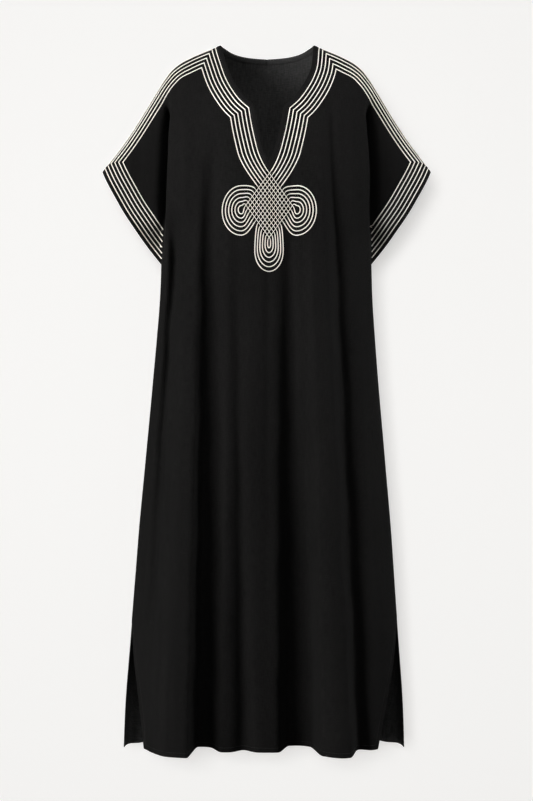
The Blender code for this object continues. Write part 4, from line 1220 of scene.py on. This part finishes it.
def stitches(name, lines, material):
    """Rows of short stitches along lines, as one piece."""
    angle = np.linspace(0, 2 * math.pi, STITCH_SIDES, endpoint=False)
    points, faces = [], []
    for spots, normals in lines:
        run = lengths(spots)
        for start in np.arange(STITCH_PITCH / 2, run[-1] - STITCH_LONG, STITCH_PITCH):
            middle = read_along(start + STITCH_LONG * STITCH_STATIONS, run, spots)
            up = read_along(start, run, normals)
            side = np.cross(up, middle[-1] - middle[0])
            side /= np.linalg.norm(side)
            ring = side * np.cos(angle)[:, None] + up * np.sin(angle)[:, None]
            faces += tube_faces(len(middle), STITCH_SIDES, first=STITCH_SIDES * len(points))
            for centre, thick in zip(middle, STITCH_SWELL):
                points.append(centre + up * STITCH_THICK * STITCH_SUNK + ring * STITCH_THICK * thick)
    return finish_mesh(name, np.vstack(points), faces, material)


def node(tree, kind, inputs, **settings):
    """A shader node with its settings and inputs; returns its first output."""
    made = tree.nodes.new(kind)
    for name, value in settings.items():
        setattr(made, name, value)
    for name, value in inputs.items():
        if isinstance(value, bpy.types.NodeSocket):
            tree.links.new(value, made.inputs[name])
        else:
            made.inputs[name].default_value = value
    return made.outputs[0]


def shader_of(name, roughness, **values):
    """A material and its Principled shader, with plain numbers set on the shader itself."""
    made = bpy.data.materials.new(name)
    made.use_nodes = True
    tree = made.node_tree
    shader = tree.nodes["Principled BSDF"]
    shader.inputs["Roughness"].default_value = roughness
    for title, value in values.items():
        shader.inputs[title.replace("_", " ")].default_value = value
    return made, tree, shader


def mark(tree, title):
    """The named vector of the mesh's points."""
    made = tree.nodes.new("ShaderNodeAttribute")
    made.attribute_name = title
    return made.outputs["Vector"]


def scaled(tree, vector, *scale):
    return node(tree, "ShaderNodeVectorMath", {0: vector, 1: scale}, operation="MULTIPLY")


def maths(tree, operation, *values):
    return node(tree, "ShaderNodeMath", dict(enumerate(values)), operation=operation)


def parts_of(tree, vector):
    """The three parts of a vector."""
    made = tree.nodes.new("ShaderNodeSeparateXYZ")
    tree.links.new(vector, made.inputs[0])
    return made.outputs


def grain(tree, vector, scale, detail=FINE_DETAIL):
    """Soft noise over a vector, at a scale of its own for each of its parts."""
    over = scaled(tree, vector, *scale)
    return node(tree, "ShaderNodeTexNoise", {"Vector": over, "Scale": 1.0, "Detail": detail})


def relief(tree, shader, height, strength, distance):
    normal = node(tree, "ShaderNodeBump", {"Height": height, "Strength": strength, "Distance": distance})
    tree.links.new(normal, shader.inputs["Normal"])


def ramp(tree, factor, *stops):
    """Colours through stops of place and colour."""
    made = tree.nodes.new("ShaderNodeValToRGB")
    tree.links.new(factor, made.inputs["Fac"])
    while len(made.color_ramp.elements) < len(stops):
        made.color_ramp.elements.new(0.5)
    for element, (place_at, colour) in zip(made.color_ramp.elements, stops):
        element.position = place_at
        element.color = (*colour, 1.0)
    return made.outputs["Color"]


def woven(name, pitch, colours, wrong_side_painted_light, bump, roughness, **values):
    """Plain woven cloth: crossing threads, thick and thin ones, and slow changes of tone."""
    made, tree, shader = shader_of(name, roughness, **values)
    thread = mark(tree, "thread")
    turns = parts_of(tree, scaled(tree, thread, 2 * math.pi / pitch, 2 * math.pi / pitch, 0.0))
    cross = maths(tree, "MULTIPLY", maths(tree, "SINE", turns[0]), maths(tree, "SINE", turns[1]))
    both = maths(tree, "ADD", grain(tree, thread, WEFT_GRAIN), grain(tree, thread, WARP_GRAIN))
    slub = maths(tree, "MULTIPLY", both, 0.5)
    slow = grain(tree, thread, SLOW_GRAIN, SLOW_DETAIL)
    tone = maths(tree, "MULTIPLY_ADD", slow, SLOW_SHARE, maths(tree, "MULTIPLY", slub, 1 - SLOW_SHARE))
    # The wrong side takes much lighter tones: painted light on the inside
    sides = {"Color1": ramp(tree, tone, *colours), "Color2": ramp(tree, tone, *wrong_side_painted_light)}
    colour = node(tree, "ShaderNodeMixRGB", {"Fac": parts_of(tree, thread)[2], **sides})
    tree.links.new(colour, shader.inputs["Base Color"])
    height = maths(tree, "MULTIPLY_ADD", cross, CROSS_RELIEF, maths(tree, "MULTIPLY", slub, SLUB_RELIEF))
    relief(tree, shader, height, bump, CLOTH_RELIEF_TALL)
    return made


def braided(name, pitch, colours, bump, roughness, **values):
    """A flat braid: slanting strands on both sides of its groove."""
    made, tree, shader = shader_of(name, roughness, **values)
    along, across, _ = parts_of(tree, mark(tree, "braid"))
    away, lead = maths(tree, "ABSOLUTE", across), maths(tree, "MULTIPLY", along, 2 * math.pi / pitch)
    strand = maths(tree, "SINE", maths(tree, "MULTIPLY_ADD", away, BRAID_SLANT, lead))
    strand = maths(tree, "MULTIPLY_ADD", strand, 0.5, 0.5)
    # Painted shade: the tone darkens towards the middle groove and between the strands, where the braid lies
    # lowest; the same tone sets the relief
    groove = maths(tree, "POWER", maths(tree, "SUBTRACT", 1.0, away), GROOVE_SHADE_SHARPNESS)
    groove = maths(tree, "SUBTRACT", 1.0, groove)
    shade = maths(tree, "MULTIPLY_ADD", strand, STRAND_SHADE, 1 - STRAND_SHADE)
    tone = maths(tree, "MULTIPLY", maths(tree, "MULTIPLY", shade, groove), BRAID_RELIEF_AND_SHADE)
    tone = maths(tree, "MULTIPLY_ADD", grain(tree, mark(tree, "braid"), BRAID_GRAIN), BRAID_SLOW, tone)
    tree.links.new(ramp(tree, tone, *colours), shader.inputs["Base Color"])
    relief(tree, shader, tone, bump, BRAID_RELIEF_TALL)
    return made


def plain(name, colours, scale, roughness, **values):
    """A plain finish with a little grain."""
    made, tree, shader = shader_of(name, roughness, **values)
    place_at = tree.nodes.new("ShaderNodeTexCoord").outputs["Object"]
    fine = node(tree, "ShaderNodeTexNoise", {"Vector": place_at, "Scale": scale, "Detail": SLOW_DETAIL})
    tree.links.new(ramp(tree, fine, *colours), shader.inputs["Base Color"])
    return made


def neck_cord(front, back, material):
    """One cord beside the binding, from the knot up the neck, round the back and down to the knot."""
    halves = []
    for sign in SIDES:
        line = mirrored(in_steps(beside_neck(FIRST_NECK, 0.5, sign), CORD_STEP), sign)
        rear = mirrored(evenly(back_neck(FIRST_NECK), CORD_STEP), sign)[::-1]
        halves.append(joined(lay(front, line), lay(back, rear)))
    spots, normals = [np.vstack([left, right[::-1][1:]]) for left, right in zip(*halves)]
    nodes = ["neck_cord_1_left", "neck_cord_1_right", "neck_cord_1_back"]
    cords("neck_cord", [(spots, normals, thinned(spots, True, True))], material, nodes)


def side_cords(front, back, sign, material):
    """The border cords, the cuff cord and the knot's loops of one side."""
    where = SIDES[sign]
    plans = [mirrored(front_border(row, n + 1.5, sign), sign) for n, row in enumerate(BORDER)]
    nodes = [f"border_cord_{n + 1}_{where}" for n in range(len(BORDER))]
    couched(f"border_cords_{where}", front, plans, (True, False), material, nodes)

    line = mirrored(cuff_line(FIRST_CUFF, sign), sign)
    spots, normals = joined(lay(front, line[::-1]), lay(back, line))
    nodes = [f"cuff_cord_{where}", f"cuff_cord_{where}_back"]
    cords(f"cuff_cord_{where}_round", [(spots, normals, CORD_HALF)], material, nodes)

    plans = [evenly(side_turn(turn, sign), CORD_STEP) for turn in TURNS]
    nodes = [f"knot_{where}_{turn}" for turn in TURNS]
    couched(f"knot_loops_{where}", front, plans, (True, True), material, nodes)


def foot_cords(front, material):
    """The knot's loops under the diamond."""
    plans = [evenly(foot_turn(turn), CORD_STEP) for turn in TURNS]
    nodes = [f"knot_foot_{turn}" for turn in TURNS]
    couched("knot_loops_foot", front, plans, (True, True), material, nodes)


def back_cords(back, material):
    """The border cords behind, each in one length from cuff to cuff."""
    halves = [back_border(row, (n + 0.5) * BACK_NECK_EXTRA) for n, row in enumerate(BORDER)]
    plans = [np.vstack([mirrored(half, LEFT)[::-1], half[1:]]) for half in halves]
    nodes = [f"border_cord_{n + 1}_back" for n in range(len(BORDER))]
    couched("border_cords_back", back, plans, (False, False), material, nodes)


def edge_stitches(front, back, strip_line, material):
    """The stitches along the binding, and along both panels' hems, slits and cuffs."""
    sewn = [strip_line]
    for cloth in (front, back):
        hem = len(cloth.grid) - 1 - STITCHED
        sewn.append(lay(cloth, cloth.grid[hem][STITCHED:-STITCHED]))
        slit = np.flatnonzero(cloth.grid[:, 0, 1] < SLIT_TOP_Z)
        for edge in (STITCHED, -1 - STITCHED):
            sewn.append(lay(cloth, cloth.grid[slit[0] : hem + 1, edge]))
        cuff = from_seam(offset(CUFF_EDGE, STITCH_INSET))[:-1]
        sewn += [lay(cloth, mirrored(cuff, sign)) for sign in SIDES]
    worn_by(stitches("edge_stitches", sewn, material), "black_binding")


def garment():
    """Every piece of the kaftan."""
    black = woven(
        "black cloth", CLOTH_PITCH, CLOTH_TONES, WRONG_SIDE_PAINTED_LIGHT_TONES, bump=0.45, roughness=0.85,
        Specular_IOR_Level=0.06, Sheen_Weight=0.008, Sheen_Roughness=0.5,
    )
    strip = woven(
        "black binding", BINDING_PITCH, BINDING_TONES, WRONG_SIDE_PAINTED_LIGHT_TONES, bump=0.30, roughness=0.80,
        Specular_IOR_Level=0.08,
    )
    cream = braided("cream cord", BRAID_PITCH, CORD_TONES_WITH_PAINTED_SHADE, bump=0.60, roughness=0.60, Specular_IOR_Level=0.30)
    thread = plain("black thread", THREAD_TONES, THREAD_GRAIN, roughness=0.50, Specular_IOR_Level=0.35)

    front, back = panel("front_cloth", FRONT, black), panel("back_cloth", BACK, black)
    worn_by(front.piece, "black_cloth", "front_panel")
    worn_by(back.piece, "black_cloth", "back_panel")
    strip_piece, strip_line = binding(strip)
    worn_by(strip_piece, "black_binding", "neck_binding")
    neck_cord(front, back, cream)
    for sign in SIDES:
        side_cords(front, back, sign, cream)
    foot_cords(front, cream)
    lattice(front, cream)
    back_cords(back, cream)
    edge_stitches(front, back, strip_line, thread)
    return front, back


def softbox(box, papers):
    """A soft light turned to the garment: for the papers behind alone, or for all but them."""
    light = bpy.data.lights.new(box.name, "AREA")
    light.shape = "RECTANGLE"
    light.size, light.size_y = box.wide, box.tall
    light.energy = box.watts
    made = bpy.data.objects.new(box.name, light)
    made.location = (box.x, box.y, box.z)
    made.rotation_mode = "QUATERNION"
    made.rotation_quaternion = (Vector(MIDDLE) - made.location).to_track_quat("-Z", "Y")
    bpy.context.scene.collection.objects.link(made)
    lit = bpy.data.collections.new(box.name)
    for paper in papers:
        lit.objects.link(paper)
    for member in lit.collection_objects:
        member.light_linking.link_state = "INCLUDE" if box.on_paper else "EXCLUDE"
    made.light_linking.receiver_collection = lit


def sheet_of_paper(name, corners, material):
    """One flat pale face of the studio."""
    mesh = bpy.data.meshes.new(name)
    mesh.from_pydata(corners, [], [(0, 1, 2, 3)])
    mesh.materials.append(material)
    made = bpy.data.objects.new(name, mesh)
    made.visible_shadow = made.visible_diffuse = made.visible_glossy = False
    bpy.context.scene.collection.objects.link(made)
    return made


def paper_material(name, glow):
    """Pale paper with a glow of its own, which is clear from behind."""
    made, tree, shader = shader_of(name, 1.0, Specular_IOR_Level=0.0)
    shader.inputs["Base Color"].default_value = (*PAPER, 1.0)
    shader.inputs["Emission Color"].default_value = (*PAPER_GLOW, 1.0)
    shader.inputs["Emission Strength"].default_value = glow
    clear = node(tree, "ShaderNodeBsdfTransparent", {})
    facing_away = tree.nodes.new("ShaderNodeNewGeometry").outputs["Backfacing"]
    seen = node(tree, "ShaderNodeMixShader", {"Fac": facing_away, 1: shader.outputs[0], 2: clear})
    tree.links.new(seen, tree.nodes["Material Output"].inputs["Surface"])
    return made


def upright(x1, y1, x2, y2):
    """Corners of a paper that stands on the floor, from one end to the other."""
    return [(x1, y1, FLOOR_Z), (x2, y2, FLOOR_Z), (x2, y2, PAPER_REACH), (x1, y1, PAPER_REACH)]


def across_room(y1, y2, z):
    """Corners of a level paper."""
    return [(-PAPER_REACH, y1, z), (PAPER_REACH, y1, z), (PAPER_REACH, y2, z), (-PAPER_REACH, y2, z)]


def studio():
    """Pale paper all round, seen from inside alone, a wall close behind the garment, and soft lights."""
    near = paper_material("pale studio paper", PAPER_GLOW_STRENGTH)
    distant = paper_material("distant studio paper", DISTANT_GLOW_STRENGTH)
    far = PAPER_REACH
    papers = [
        sheet_of_paper("studio_wall", upright(-far, WALL_Y, far, WALL_Y), near),
        sheet_of_paper("studio_floor", across_room(-far, far, FLOOR_Z), near),
        sheet_of_paper("studio_left", upright(-far, -far, -far, far), distant),
        sheet_of_paper("studio_right", upright(far, far, far, -far), distant),
        sheet_of_paper("studio_opposite", upright(far, -far, -far, -far), distant),
        sheet_of_paper("studio_ceiling", across_room(far, -far, far), distant),
    ]
    for box in LIGHTS:
        softbox(box, papers)
    world = bpy.data.worlds.new("studio light")
    world.use_nodes = True
    around = world.node_tree.nodes["Background"]
    around.inputs["Color"].default_value = (*AROUND, 1.0)
    around.inputs["Strength"].default_value = AROUND_STRENGTH
    bpy.context.scene.world = world


def camera():
    """Level with the middle of the garment, straight in front, at the photo's distance."""
    made = bpy.data.objects.new("camera", bpy.data.cameras.new("camera"))
    made.data.lens = CAMERA_LENS
    made.data.sensor_width = CAMERA_SENSOR
    made.location = CAMERA_AT
    made.rotation_euler = (math.pi / 2, 0.0, 0.0)
    bpy.context.scene.collection.objects.link(made)
    bpy.context.scene.camera = made


front, back = garment()
studio()
camera()
bpy.context.scene.view_settings.view_transform = "Standard"
